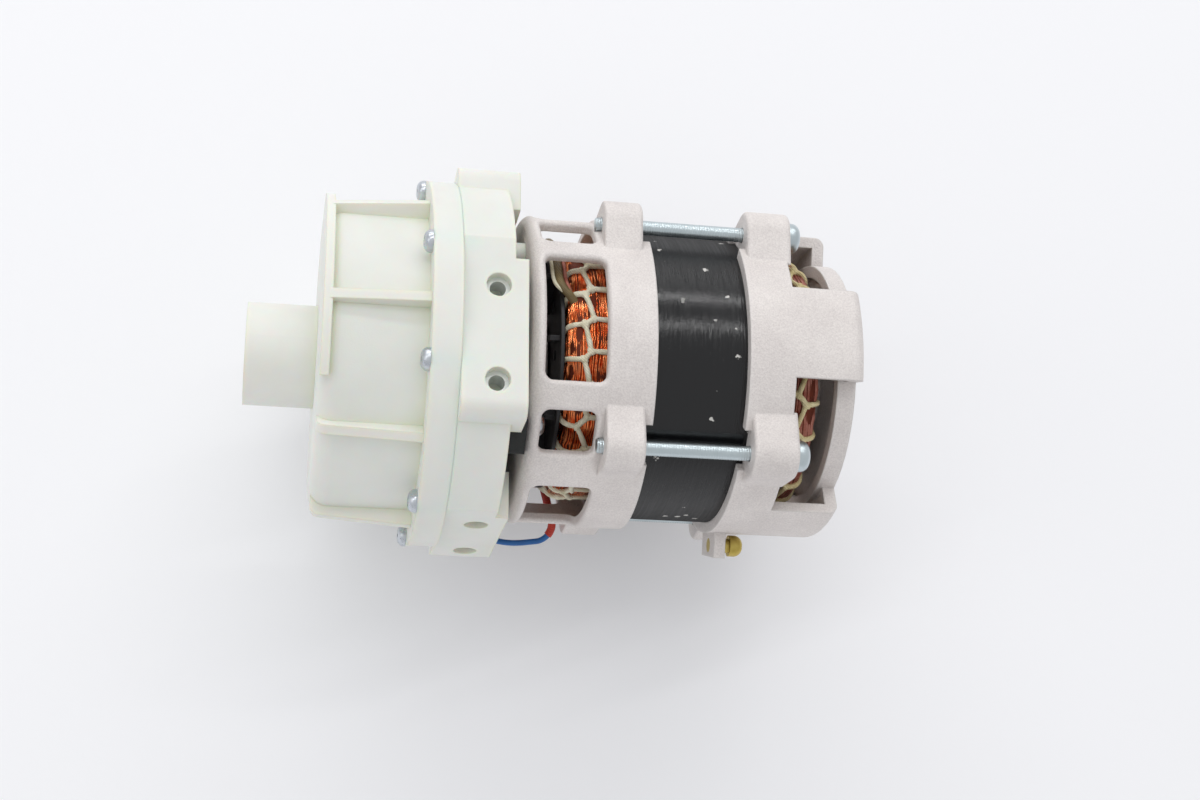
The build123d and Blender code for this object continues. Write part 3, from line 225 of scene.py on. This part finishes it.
# Stator stack: steel sheets half a millimetre thick, dipped in black varnish.
# Each sheet's edge stands a little in or out, so highlights break into fine rings.
# The varnish has small pale chips, and is duller where it is seen edge on.
SHEET = 0.0005
black = Finish("black_painted_steel", Specular_IOR_Level=0.5)
sides = black.put("SeparateXYZ", Vector=black.place, output="X")
sheet = sides.sum("FRACT", sides / SHEET)
ridge = sides.sum("ABSOLUTE", sheet - 0.5)
layer = black.put("TexWhiteNoise", {"noise_dimensions": "1D"}, W=sides.sum("FLOOR", sides / SHEET))
smear = black.noise(140.0, 3.0, 0.6, stretch=(8, 1, 1))
CHIP_JAG, CHIPS_PER_METRE = 0.0022, 170.0
jag = black.put("TexNoise", output="Color", Vector=black.place, Scale=900.0)
crooked = black.put("VectorMath", {"operation": "MULTIPLY_ADD"}, 0, [jag, (CHIP_JAG,) * 3, black.place])
chips = {"feature": "F1"}
near_chip = black.put("TexVoronoi", chips, "Distance", Vector=crooked, Scale=CHIPS_PER_METRE)
which = black.put("SeparateColor", Color=black.put(
    "TexVoronoi", chips, "Color", Vector=crooked, Scale=CHIPS_PER_METRE))
chip = black.ramp(near_chip, 0.13, 0.09) * black.ramp(which, 0.30, 0.33)
facing = black.put("LayerWeight", output="Facing", Blend=0.5)
black.paint(
    Base_Color=black.mix(chip, rgb(11, 11, 13), rgb(205, 203, 198)),
    Roughness=0.13 + 0.08 * layer + 0.3 * chip + 0.8 * facing * facing,
)
black.bump(smear + 0.14 * ridge + 0.08 * layer, 1.0, 0.00015)
black.cover("stator_core")

# Rotor core: the same steel sheets, pressed on the shaft.
# The outside is turned bright, and the sheets' joints show as fine rings.
turned = Finish("rotor_steel", Metallic=0.9, Roughness=0.4)
along = turned.put("SeparateXYZ", Vector=turned.place, output="X")
streak = turned.noise(200.0, stretch=(8, 1, 1))
turned.paint(Base_Color=turned.mix(streak, rgb(105, 105, 108), rgb(150, 148, 146)))
turned.bump(along.sum("FRACT", along / SHEET), 0.4, 0.0001)
turned.cover("rotor_core")

# Shaft, bearings and wave washer: hardened steel, ground and polished.
# The grinding leaves a faint pattern round the axis.
polished = Finish("bearing_steel", Metallic=1.0)
polished.paint(
    Base_Color=polished.mix(polished.noise(160.0), rgb(190, 192, 196), rgb(216, 217, 220)),
    Roughness=0.16 + 0.2 * polished.noise(900.0, stretch=(5, 1, 1)),
)
polished.bump(polished.noise(2400.0, stretch=(6, 1, 1)), 0.12, 0.0001, rounding=0.0002)
polished.cover(
    "shaft", "wave_washer",
    *(end + part for end in ("front", "rear")
      for part in ("_bearing_outer_ring", "_bearing_inner_ring", "_bearing_balls", "_bearing_seals")),
)

# Brass parts: bearing cages, impeller nut and the earth screw on the rear shield's tab.
# They are turned or pressed, and slightly dulled.
brass = Finish("brass", Metallic=1.0)
brass.paint(
    Base_Color=brass.mix(brass.noise(420.0, 4.0), rgb(172, 148, 68), rgb(212, 192, 112)),
    Roughness=0.24 + 0.3 * brass.noise(900.0),
)
brass.bump(brass.noise(2600.0), 0.15, 0.0002, rounding=0.0003)
brass.cover("front_bearing_cage", "rear_bearing_cage", "impeller_nut", "earth_screw")

# Zinc-plated steel: cover screws, body screws, earth washer, seal spring and pad inserts.
# The plating is bright and bluish, with a little cloudiness and softly rounded edges.
# The inserts are duller, and their threads show as fine rings.
zinc = Finish("zinc_steel", Metallic=1.0)
veil = zinc.noise(700.0, 4.0)
zinc.paint(
    Base_Color=zinc.mix(veil, rgb(178, 184, 192), rgb(222, 226, 230)),
    Roughness=0.18 + 0.24 * veil,
)
zinc.bump(zinc.noise(3000.0), 0.18, 0.0002, rounding=0.0002)
zinc.cover("cover_screws", "body_screws", "earth_washer", "seal_spring")
threaded = Finish("insert_zinc", Metallic=0.35)
threaded.paint(
    Base_Color=threaded.mix(threaded.noise(500.0), rgb(214, 218, 216), rgb(238, 240, 238)),
    Roughness=0.34 + 0.14 * threaded.noise(900.0),
)
thread_rings = threaded.put("TexWave", {"bands_direction": "Z"}, Vector=threaded.place, Scale=420.0)
threaded.bump(thread_rings, 0.3, 0.0002)
threaded.cover("pad_inserts")

# Rubber parts: gasket, seal cup, bellows, slinger and the buffer against the motor.
# They are moulded in black rubber with a dull, slightly uneven skin.
rubber = Finish("black_rubber")
rubber.paint(
    Base_Color=rubber.mix(rubber.noise(260.0, 4.0), rgb(24, 25, 25), rgb(44, 46, 45)),
    Roughness=0.6 + 0.25 * rubber.noise(900.0),
)
rubber.bump(rubber.noise(1800.0, 4.0), 0.3, 0.0002, rounding=0.0004)
rubber.cover("cover_gasket", "seal_cup", "seal_bellows", "slinger", "buffer_block")

# Hard black parts: impeller, cooling fan and back plate.
# They are injection moulded in filled nylon, with a half-dull skin.
nylon = Finish("black_plastic")
nylon.paint(
    Base_Color=nylon.mix(nylon.noise(120.0), rgb(22, 22, 24), rgb(38, 37, 39)),
    Roughness=0.36 + 0.2 * nylon.noise(600.0),
)
nylon.bump(nylon.noise(2600.0, 3.0), 0.2, 0.0002, rounding=0.0004)
nylon.cover("impeller", "cooling_fan", "back_plate")

# Seal faces: a cream ceramic seat that stands still and a carbon ring that turns on it.
# Both are lapped flat.
ceramic = Finish("white_ceramic", Roughness=0.2)
ceramic.paint(Base_Color=ceramic.mix(ceramic.noise(90.0), rgb(232, 229, 218), rgb(243, 241, 234)))
ceramic.bump(ceramic.noise(3000.0), 0.05, 0.0001, rounding=0.0003)
ceramic.cover("seal_seat")
carbon = Finish("carbon", Roughness=0.42)
carbon.paint(Base_Color=carbon.mix(carbon.noise(1600.0, 5.0), rgb(38, 38, 40), rgb(66, 66, 68)))
carbon.bump(carbon.noise(2600.0), 0.15, 0.0001, rounding=0.0003)
carbon.cover("seal_ring")

# Slot liners: off-white insulating paper, folded into the stack's slots round the wire.
# It has a faint felted grain.
paper = Finish("white_paper", Roughness=0.85)
paper.paint(Base_Color=paper.mix(paper.noise(500.0, 5.0, 0.7), rgb(205, 198, 178), rgb(226, 220, 204)))
paper.bump(paper.noise(2200.0, 5.0, 0.7), 0.4, 0.0002)
paper.cover("slot_liners")

# Motor lead: a wire in glossy, even blue insulation, from its plug to the winding.
# A red glass sleeve with a braided skin covers its inner end.
blue = Finish("blue_plastic", Specular_IOR_Level=0.5)
blue.paint(
    Base_Color=blue.mix(blue.noise(300.0), rgb(22, 84, 150), rgb(34, 104, 172)),
    Roughness=0.28 + 0.12 * blue.noise(900.0),
)
blue.bump(blue.noise(1800.0, 2.0), 0.1, 0.0002)
blue.cover("blue_lead")
red = Finish("red_plastic")
BRAID = 0.0007
red_x = red.put("SeparateXYZ", Vector=red.place, output="X")
red_z = red.put("SeparateXYZ", Vector=red.place, output="Z")
one_way = red_x.sum("SINE", (red_x + red_z) * (math.tau / BRAID))
other_way = red_x.sum("SINE", (red_x - red_z) * (math.tau / BRAID))
weave = one_way * other_way
red.paint(
    Base_Color=red.mix(red.ramp(weave, -0.6, 0.8), rgb(168, 36, 22), rgb(206, 62, 38)),
    Roughness=0.5 + 0.1 * weave,
)
red.bump(weave, 0.35, 0.0002)
red.cover("lead_sleeve")

# Winding: enamelled copper wire in a round bundle at each end of the stack.
# The CAD bundle is the inside, painted dark brown as the shade between the strands; separate strands of
# wire lie round it and show in the windows.
STACK_FRONT, STACK_BACK = 0.1000, 0.1347
COIL_R, COIL_INNER, COIL_ROUND = 0.0342, 0.0235, 0.003
COIL_REACH, COIL_GAP = 0.0166, 0.0014
STRAND, STRAND_PITCH = 0.00056, 0.86
RING_TILT, RING_DROP, RING_STEPS = 0.006, 0.00022, 128
SHAKE_SIZE, SHAKE = 0.0045, 0.0011
TWITCH_SIZE, TWITCH = 0.0016, 0.0005
inside = Finish("coil_core", Metallic=0.6, Roughness=0.5)
# Painted shade: the bundle's dark brown stands for the shade deep between the strands.
inside.paint(Base_Color=inside.mix(inside.noise(500.0), rgb(70, 26, 12), rgb(120, 48, 22)))
inside.bump(inside.noise(1800.0, stretch=(4, 1, 1)), 0.5, 0.0003)
inside.cover("winding")
copper = Finish("copper_wire", Metallic=1.0)
patch = copper.noise(420.0, 4.0, 0.6)
copper.paint(
    Base_Color=copper.mix(copper.ramp(patch, 0.35, 0.66), rgb(218, 94, 42), rgb(255, 166, 110)),
    Roughness=0.16 + 0.14 * patch,
)
copper.bump(copper.noise(3000.0), 0.1, 0.0001)
varnished = Finish("varnished_copper_wire", Metallic=0.45)
patch = varnished.noise(300.0, 4.0, 0.6)
varnished.paint(
    Base_Color=varnished.mix(varnished.ramp(patch, 0.35, 0.7), rgb(150, 78, 62), rgb(196, 138, 122)),
    Roughness=0.4 + 0.2 * patch,
)
varnished.bump(varnished.noise(2200.0, 4.0), 0.3, 0.0002)


def clean_start():
    """Leaves edit mode and lets go of everything."""
    if bpy.context.object and bpy.context.object.mode != "OBJECT":
        bpy.ops.object.mode_set(mode="OBJECT")
    bpy.ops.object.select_all(action="DESELECT")


def finish_piece(name, finish, body="housing", smooth=40):
    """The active object becomes a finished piece: placed in its mesh, painted, riding a body."""
    obj = bpy.context.object
    for modifier in list(obj.modifiers):
        bpy.ops.object.modifier_apply(modifier=modifier.name)
    bpy.ops.object.transform_apply(location=True, rotation=True, scale=True)
    bpy.ops.object.shade_smooth_by_angle(angle=math.radians(smooth))
    obj.name = obj.data.name = name
    obj.data.materials.clear()
    obj.data.materials.append(finish.material)
    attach(obj, body)
    return obj


def bundle(name, near, way, finish, seed):
    """Rings of wire round one coil end, from its outer side over the rounded edges to its end faces."""
    length = COIL_REACH - COIL_GAP
    corner = math.pi / 2 * COIL_ROUND
    flat, side = length - 2 * COIL_ROUND, COIL_R - COIL_INNER - 2 * COIL_ROUND
    pick = random.Random(seed)
    clean_start()
    rings = []
    travel = -side
    while travel < flat + 2 * corner + side:
        if travel < 0:
            x, r = 0.0, COIL_R - COIL_ROUND + travel
        elif travel < corner:
            turn = travel / COIL_ROUND
            x, r = COIL_ROUND * (1 - math.cos(turn)), COIL_R - COIL_ROUND * (1 - math.sin(turn))
        elif travel < corner + flat:
            x, r = COIL_ROUND + travel - corner, COIL_R
        elif travel < 2 * corner + flat:
            turn = (travel - corner - flat) / COIL_ROUND
            x, r = length - COIL_ROUND * (1 - math.sin(turn)), COIL_R - COIL_ROUND * (1 - math.cos(turn))
        else:
            x, r = length, COIL_R - COIL_ROUND - (travel - 2 * corner - flat)
        bpy.ops.mesh.primitive_torus_add(
            location=(near + way * x, 0, 0),
            rotation=(0, math.pi / 2 + pick.uniform(-RING_TILT, RING_TILT),
                      pick.uniform(-RING_TILT, RING_TILT)),
            major_segments=RING_STEPS, minor_segments=5,
            major_radius=r - pick.uniform(0.0, RING_DROP),
            minor_radius=STRAND / 2 * pick.uniform(0.9, 1.1),
        )
        rings.append(bpy.context.object)
        travel += STRAND * STRAND_PITCH
    for ring in rings:
        ring.select_set(True)
    bpy.context.view_layer.objects.active = rings[0]
    bpy.ops.object.join()
    wander = bpy.data.textures.new(name + "_wander", "CLOUDS")
    wander.noise_scale, wander.cloud_type = SHAKE_SIZE, "COLOR"
    shake = bpy.context.object.modifiers.new("shake", "DISPLACE")
    shake.texture, shake.texture_coords = wander, "GLOBAL"
    shake.direction, shake.strength, shake.mid_level = "RGB_TO_XYZ", SHAKE, 0.5
    kink = bpy.data.textures.new(name + "_kink", "CLOUDS")
    kink.noise_scale, kink.cloud_type = TWITCH_SIZE, "COLOR"
    twitch = bpy.context.object.modifiers.new("twitch", "DISPLACE")
    twitch.texture, twitch.texture_coords = kink, "GLOBAL"
    twitch.direction, twitch.strength, twitch.mid_level = "RGB_TO_XYZ", TWITCH, 0.5
    piece = finish_piece(name, finish, smooth=80)
    return piece


bundle("front_coil_wires", STACK_FRONT - COIL_REACH, 1, copper, 3)
bundle("rear_coil_wires", STACK_BACK + COIL_REACH, -1, varnished, 8)

# Lacing: flat waxed cord tied round each coil end by hand, in a net of uneven six-sided loops.
# A zigzag runs round the bundle, and a tie leaves each of its corners over the bundle's edge.
CELLS = 24
CORD_R = 0.00074
NEAR, FAR, SHIFT = 0.0036, 0.0060, 0.28
SWAY, NEAR_SPREAD, FAR_SPREAD = 0.07, 0.0005, 0.0006
LEFT_TIE, RIGHT_TIE, TIE_LEAN, BOW = 0.0105, 0.0145, 0.02, 0.0002
FRAY_SIZE, FRAY = 0.0008, 0.00022
cream = Finish("cream_cord", Sheen_Weight=0.15)
twist = cream.put("TexWave", {"wave_type": "BANDS", "bands_direction": "DIAGONAL"}, Vector=cream.place,
                  Scale=700.0, Distortion=3.0, Detail=2.0)
stain = cream.noise(260.0, 4.0, 0.6)
cream.paint(
    Base_Color=cream.mix(cream.ramp(stain, 0.3, 0.7), rgb(216, 209, 176), rgb(242, 238, 218)),
    Roughness=0.75 + 0.15 * stain,
)
cream.bump(twist + 0.6 * cream.noise(2600.0, 4.0), 0.5, 0.00025)
aged = Finish("aged_cord", Roughness=0.8)
stain = aged.noise(240.0, 4.0, 0.6)
aged.paint(Base_Color=aged.mix(aged.ramp(stain, 0.3, 0.7), rgb(202, 184, 128), rgb(232, 220, 178)))
twist = aged.put("TexWave", {"bands_direction": "DIAGONAL"}, Vector=aged.place,
                 Scale=700.0, Distortion=3.0)
aged.bump(twist + aged.noise(2600.0), 0.5, 0.00025)


def on_coil(near, way, depth, turn, lift):
    """Point on the bundle's skin: depth along its outer side, past either edge it goes round and down."""
    length = COIL_REACH - COIL_GAP
    x, r = depth, COIL_R + lift
    for edge, sign in ((0.0, -1), (length, 1)):
        over = sign * (depth - (edge - sign * COIL_ROUND))
        if over > 0:
            bend = min(over / COIL_ROUND, math.pi / 2)
            down = max(over - COIL_ROUND * math.pi / 2, 0.0)
            x = edge - sign * COIL_ROUND + sign * (COIL_ROUND + lift) * math.sin(bend)
            r = COIL_R - COIL_ROUND + (COIL_ROUND + lift) * math.cos(bend) - down
    return (near + way * x, r * math.sin(turn), r * math.cos(turn), 1.0)


def net(name, near, way, finish, seed, replaced):
    """The whole net of one coil end, as cords with small knots where three of them meet."""
    pick = random.Random(seed)
    pitch = math.tau / CELLS
    lows = [((k + pick.uniform(-SWAY, SWAY)) * pitch, NEAR + pick.uniform(-NEAR_SPREAD, NEAR_SPREAD))
            for k in range(CELLS)]
    highs = [((k + SHIFT + pick.uniform(-SWAY, SWAY)) * pitch, FAR + pick.uniform(-FAR_SPREAD, FAR_SPREAD))
             for k in range(CELLS)]
    runs = []
    for k in range(CELLS):
        low, high, after = lows[k], highs[k], lows[(k + 1) % CELLS]
        following = after[0] + (math.tau if k == CELLS - 1 else 0)
        for (t0, d0), (t1, d1) in ((low, high), (high, (following, after[1]))):
            bow = pick.uniform(-BOW, BOW)
            runs.append([(d0 + (d1 - d0) * s + bow * math.sin(math.pi * s), t0 + (t1 - t0) * s)
                         for s in (0, 0.25, 0.5, 0.75, 1)])
        lean = pick.uniform(-TIE_LEAN, TIE_LEAN)
        runs.append([(low[1] - s * LEFT_TIE, low[0] + lean * s)
                     for s in (0, 0.1, 0.25, 0.4, 0.55, 0.7, 0.85, 1)])
        lean = pick.uniform(-TIE_LEAN, TIE_LEAN)
        runs.append([(high[1] + s * RIGHT_TIE, high[0] + lean * s)
                     for s in (0, 0.1, 0.2, 0.35, 0.5, 0.6, 0.7, 0.8, 0.9, 1)])
    shape = bpy.data.curves.new(name, "CURVE")
    shape.dimensions, shape.bevel_depth, shape.bevel_resolution, shape.resolution_u = "3D", CORD_R, 2, 4
    for run in runs:
        line = shape.splines.new("NURBS")
        line.points.add(len(run) - 1)
        for point, (depth, turn) in zip(line.points, run):
            point.co = on_coil(near, way, depth, turn, CORD_R * 0.75)
            point.radius = pick.uniform(0.86, 1.12)
        line.order_u, line.use_endpoint_u = 3, True
    clean_start()
    cords = bpy.data.objects.new(name, shape)
    bpy.context.collection.objects.link(cords)
    cords.select_set(True)
    bpy.context.view_layer.objects.active = cords
    bpy.ops.object.convert(target="MESH")
    knots = []
    for turn, depth in lows + highs:
        x, y, z, _ = on_coil(near, way, depth, turn, CORD_R * 0.7)
        bpy.ops.mesh.primitive_ico_sphere_add(
            subdivisions=2, radius=CORD_R * pick.uniform(1.35, 1.6), location=(x, y, z),
            rotation=(-turn, 0, pick.uniform(0, 3)), scale=(1.25, 1.0, 0.75),
        )
        knots.append(bpy.context.object)
    for knot in knots:
        knot.select_set(True)
    cords.select_set(True)
    bpy.context.view_layer.objects.active = cords
    bpy.ops.object.join()
    rough = bpy.data.textures.new(name + "_fray", "CLOUDS")
    rough.noise_scale = FRAY_SIZE
    fray = bpy.context.object.modifiers.new("fray", "DISPLACE")
    fray.texture, fray.texture_coords, fray.strength, fray.mid_level = rough, "GLOBAL", FRAY, 0.5
    piece = finish_piece(name, finish, smooth=70)
    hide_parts(replaced)


net("front_net", STACK_FRONT - COIL_REACH, 1, cream, 5, "front_lacing")
net("rear_net", STACK_BACK + COIL_REACH, -1, aged, 11, "rear_lacing")

# Crossover leads: a brown varnished sleeve, a bare lead and a cord that join one coil to the next.
# They leave the bundle's front edge, run round it just inside the front shield and go back in.
LEAVE_AT, RETURN_AT, LEAD_STEP = 12, 78, 8
sleeved = Finish("brown_sleeve")
braid = sleeved.put("TexWave", {"bands_direction": "DIAGONAL"}, Vector=sleeved.place,
                    Scale=900.0, Distortion=2.0)
sleeved.paint(
    Base_Color=sleeved.mix(sleeved.noise(300.0, 4.0), rgb(88, 74, 46), rgb(146, 126, 84)),
    Roughness=0.4 + 0.2 * sleeved.noise(700.0),
)
sleeved.bump(braid, 0.5, 0.0002)
for name, finish, slot, x, ring, thick in (
    ("crossover_sleeve", sleeved, "cream_cord", 0.0805, 0.0359, 0.00115),
    ("crossover_lead", varnished, "copper_wire", 0.0823, 0.0356, 0.0006),
    ("crossover_cord", cream, "cream_cord", 0.0789, 0.0362, 0.0005),
):
    ends = ((0.0855, 0.0325, 0), (0.0838, 0.0345, 2), (x + 0.001, ring - 0.0003, 5))
    way = [(a, b, LEAVE_AT + c) for a, b, c in ends]
    way += [(x, ring, LEAVE_AT + step)
            for step in range(LEAD_STEP + 1, RETURN_AT - LEAVE_AT - LEAD_STEP, LEAD_STEP)]
    way += [(a, b, RETURN_AT - c) for a, b, c in reversed(ends)]
    shape = bpy.data.curves.new(name, "CURVE")
    shape.dimensions, shape.bevel_depth, shape.bevel_resolution, shape.resolution_u = "3D", thick, 3, 6
    line = shape.splines.new("NURBS")
    line.points.add(len(way) - 1)
    for point, (along_x, out, degrees) in zip(line.points, way):
        turn = math.radians(degrees)
        point.co = (along_x, out * math.sin(turn), out * math.cos(turn), 1.0)
    line.order_u, line.use_endpoint_u = 3, True
    clean_start()
    strand = bpy.data.objects.new(name, shape)
    bpy.context.collection.objects.link(strand)
    strand.select_set(True)
    bpy.context.view_layer.objects.active = strand
    bpy.ops.object.convert(target="MESH")
    finish_piece(name, finish, smooth=70)

# Tie bolts: four M4 steel bolts, zinc plated, threaded over their whole length.
# Each passes the rear shield's lug, lies free beside the stack, and ends in the front shield's lug.
BOLT_RING, BOLT_FROM, BOLT_HEAD_AT = 0.0443, 0.0906, 0.1436
THREAD_CREST, THREAD_ROOT, THREAD_PITCH = 0.00199, 0.00188, 0.0007
HEAD_R, HEAD_HIGH, HEAD_DOME = 0.0042, 0.0038, 0.62
TIP_SHARE, TIP_LONG, TIP_ROUND = 0.9, 0.001, 0.0002
RECESS_DEEP, RECESS_LONG, RECESS_WIDE = 0.0034, 0.0052, 0.0009
FIRST_BOLT, THREAD_STEPS = 44, 20
plated = Finish("bolt_zinc", Metallic=0.92)
haze = plated.noise(260.0, 3.0)
plated.paint(
    Base_Color=plated.mix(haze, rgb(184, 196, 200), rgb(208, 218, 221)),
    Roughness=0.26 + 0.12 * haze,
)
plated.bump(plated.noise(2400.0), 0.08, 0.0001)
clean_start()
bpy.ops.mesh.primitive_plane_add(size=THREAD_PITCH, location=(BOLT_FROM, 0, 0))
bolt = bpy.context.object
bpy.ops.object.mode_set(mode="EDIT")
bpy.ops.mesh.select_all(action="DESELECT")
bpy.ops.object.mode_set(mode="OBJECT")
for vertex in bolt.data.vertices:
    vertex.select = vertex.co.x > 0 and vertex.co.y > 0
bpy.ops.object.mode_set(mode="EDIT")
bpy.ops.mesh.delete(type="VERT")
bpy.ops.object.mode_set(mode="OBJECT")
for vertex, (x, r) in zip(sorted(bolt.data.vertices, key=lambda v: (v.co.x - v.co.y)),
                          ((0.0, THREAD_ROOT), (0.5, THREAD_CREST), (1.0, THREAD_ROOT))):
    vertex.co = (x * THREAD_PITCH, 0.0, r)
turns = bolt.modifiers.new("turns", "SCREW")
turns.axis, turns.screw_offset, turns.angle = "X", THREAD_PITCH, math.tau
turns.iterations = round((BOLT_HEAD_AT - BOLT_FROM) / THREAD_PITCH)
turns.steps = turns.render_steps = THREAD_STEPS
turns.use_merge_vertices, turns.merge_threshold = True, 0.00001
bpy.ops.object.modifier_apply(modifier="turns")
bpy.ops.mesh.primitive_cylinder_add(
    vertices=32, radius=HEAD_R, depth=HEAD_HIGH, rotation=(0, math.pi / 2, 0),
    location=(BOLT_HEAD_AT + HEAD_HIGH / 2, 0, 0),
)
head = bpy.context.object
bpy.ops.object.transform_apply(location=True, rotation=True, scale=True)
bpy.ops.object.mode_set(mode="EDIT")
bpy.ops.mesh.select_all(action="DESELECT")
bpy.ops.object.mode_set(mode="OBJECT")
for face in head.data.polygons:
    face.select = face.normal.x > 0.9
bpy.ops.object.mode_set(mode="EDIT")
bpy.ops.mesh.bevel(offset=HEAD_HIGH * HEAD_DOME, segments=6, profile=0.5, affect="EDGES")
bpy.ops.object.mode_set(mode="OBJECT")
bpy.ops.mesh.primitive_cylinder_add(
    vertices=THREAD_STEPS, radius=THREAD_CREST * TIP_SHARE, depth=TIP_LONG, rotation=(0, math.pi / 2, 0),
    location=(BOLT_FROM + TIP_LONG / 2, 0, 0),
)
tip = bpy.context.object
bpy.ops.object.mode_set(mode="EDIT")
bpy.ops.mesh.select_all(action="SELECT")
bpy.ops.mesh.bevel(offset=TIP_ROUND, segments=2, affect="EDGES")
bpy.ops.object.mode_set(mode="OBJECT")
for width, height in ((RECESS_WIDE, RECESS_LONG), (RECESS_LONG, RECESS_WIDE)):
    bpy.ops.mesh.primitive_cube_add(
        size=1, location=(BOLT_HEAD_AT + HEAD_HIGH, 0, 0), scale=(RECESS_DEEP, width, height),
    )
    slot_cut = bpy.context.object
    cut = head.modifiers.new("recess", "BOOLEAN")
    cut.operation, cut.object, cut.solver = "DIFFERENCE", slot_cut, "EXACT"
    bpy.context.view_layer.objects.active = head
    bpy.ops.object.modifier_apply(modifier="recess")
    bpy.data.objects.remove(slot_cut)
clean_start()
for part in (bolt, head, tip):
    part.select_set(True)
bpy.context.view_layer.objects.active = bolt
bpy.ops.object.join()
bpy.ops.object.transform_apply(location=True, rotation=True, scale=True)
for k in range(4):
    turn = math.radians(FIRST_BOLT + 90 * k)
    clean_start()
    copy = bolt.copy()
    copy.data = bolt.data.copy()
    bpy.context.collection.objects.link(copy)
    copy.location = (0, BOLT_RING * math.sin(turn), BOLT_RING * math.cos(turn))
    copy.select_set(True)
    bpy.context.view_layer.objects.active = copy
    finish_piece("tie_bolt_%d" % (k + 1), plated, smooth=50)
bpy.data.objects.remove(bolt)
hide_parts("tie_bolts")

# Floor and light: a white table in a bright room, under two long strip lamps and two soft boxes.
# A tenth of the table's white is its own glow, which only the camera and reflections see.
FLOOR_Z, FLOOR_WIDE, FLOOR_GLOW = -0.0626, 6.0, 0.1
clean_start()
bpy.ops.mesh.primitive_plane_add(size=FLOOR_WIDE, location=(0, 0, FLOOR_Z))
floor = bpy.context.object
floor.name = "floor"
table = Finish("floor_white", Roughness=0.9, Specular_IOR_Level=0.1, Base_Color=rgb(247, 247, 249))
glow = table.put("Emission", Color=rgb(250, 250, 252), Strength=1.0)
seen = table.put("LightPath", output="Is Camera Ray") + table.put("LightPath", output="Is Glossy Ray")
plain = Wire(table.tree, table.shader.outputs[0])
blend = table.put("MixShader", None, 0, [FLOOR_GLOW * seen, plain, glow])
table.plug(table.tree.nodes["Material Output"].inputs["Surface"], blend)
table.cover("floor")
room = bpy.data.worlds.new("room")
bpy.context.scene.world = room
room.use_nodes = True
backdrop = room.node_tree.nodes["Background"]
backdrop.inputs["Color"].default_value = (0.97, 0.98, 1.0, 1.0)
backdrop.inputs["Strength"].default_value = 0.68
for name, angle, side, distance, size, power in (
    ("upper_strip", 66, 0.08, 1.6, (2.2, 0.04), 5.4),
    ("lower_strip", 35, 0.08, 1.6, (2.2, 0.035), 4.6),
    ("top_box", 86, -0.1, 1.7, (1.6, 0.7), 3.4),
    ("left_box", 10, -0.9, 1.6, (0.6, 0.9), 1.4),
):
    lamp = bpy.data.lights.new(name, "AREA")
    lamp.shape, lamp.size, lamp.size_y, lamp.energy = "RECTANGLE", size[0], size[1], power
    holder = bpy.data.objects.new(name, lamp)
    bpy.context.collection.objects.link(holder)
    rise = math.radians(angle)
    aim = (math.cos(rise) * back + math.sin(rise) * up + side * right).normalized()
    holder.location = AIM + distance * aim
    holder.rotation_euler = aim.to_track_quat("Z", "Y").to_euler()
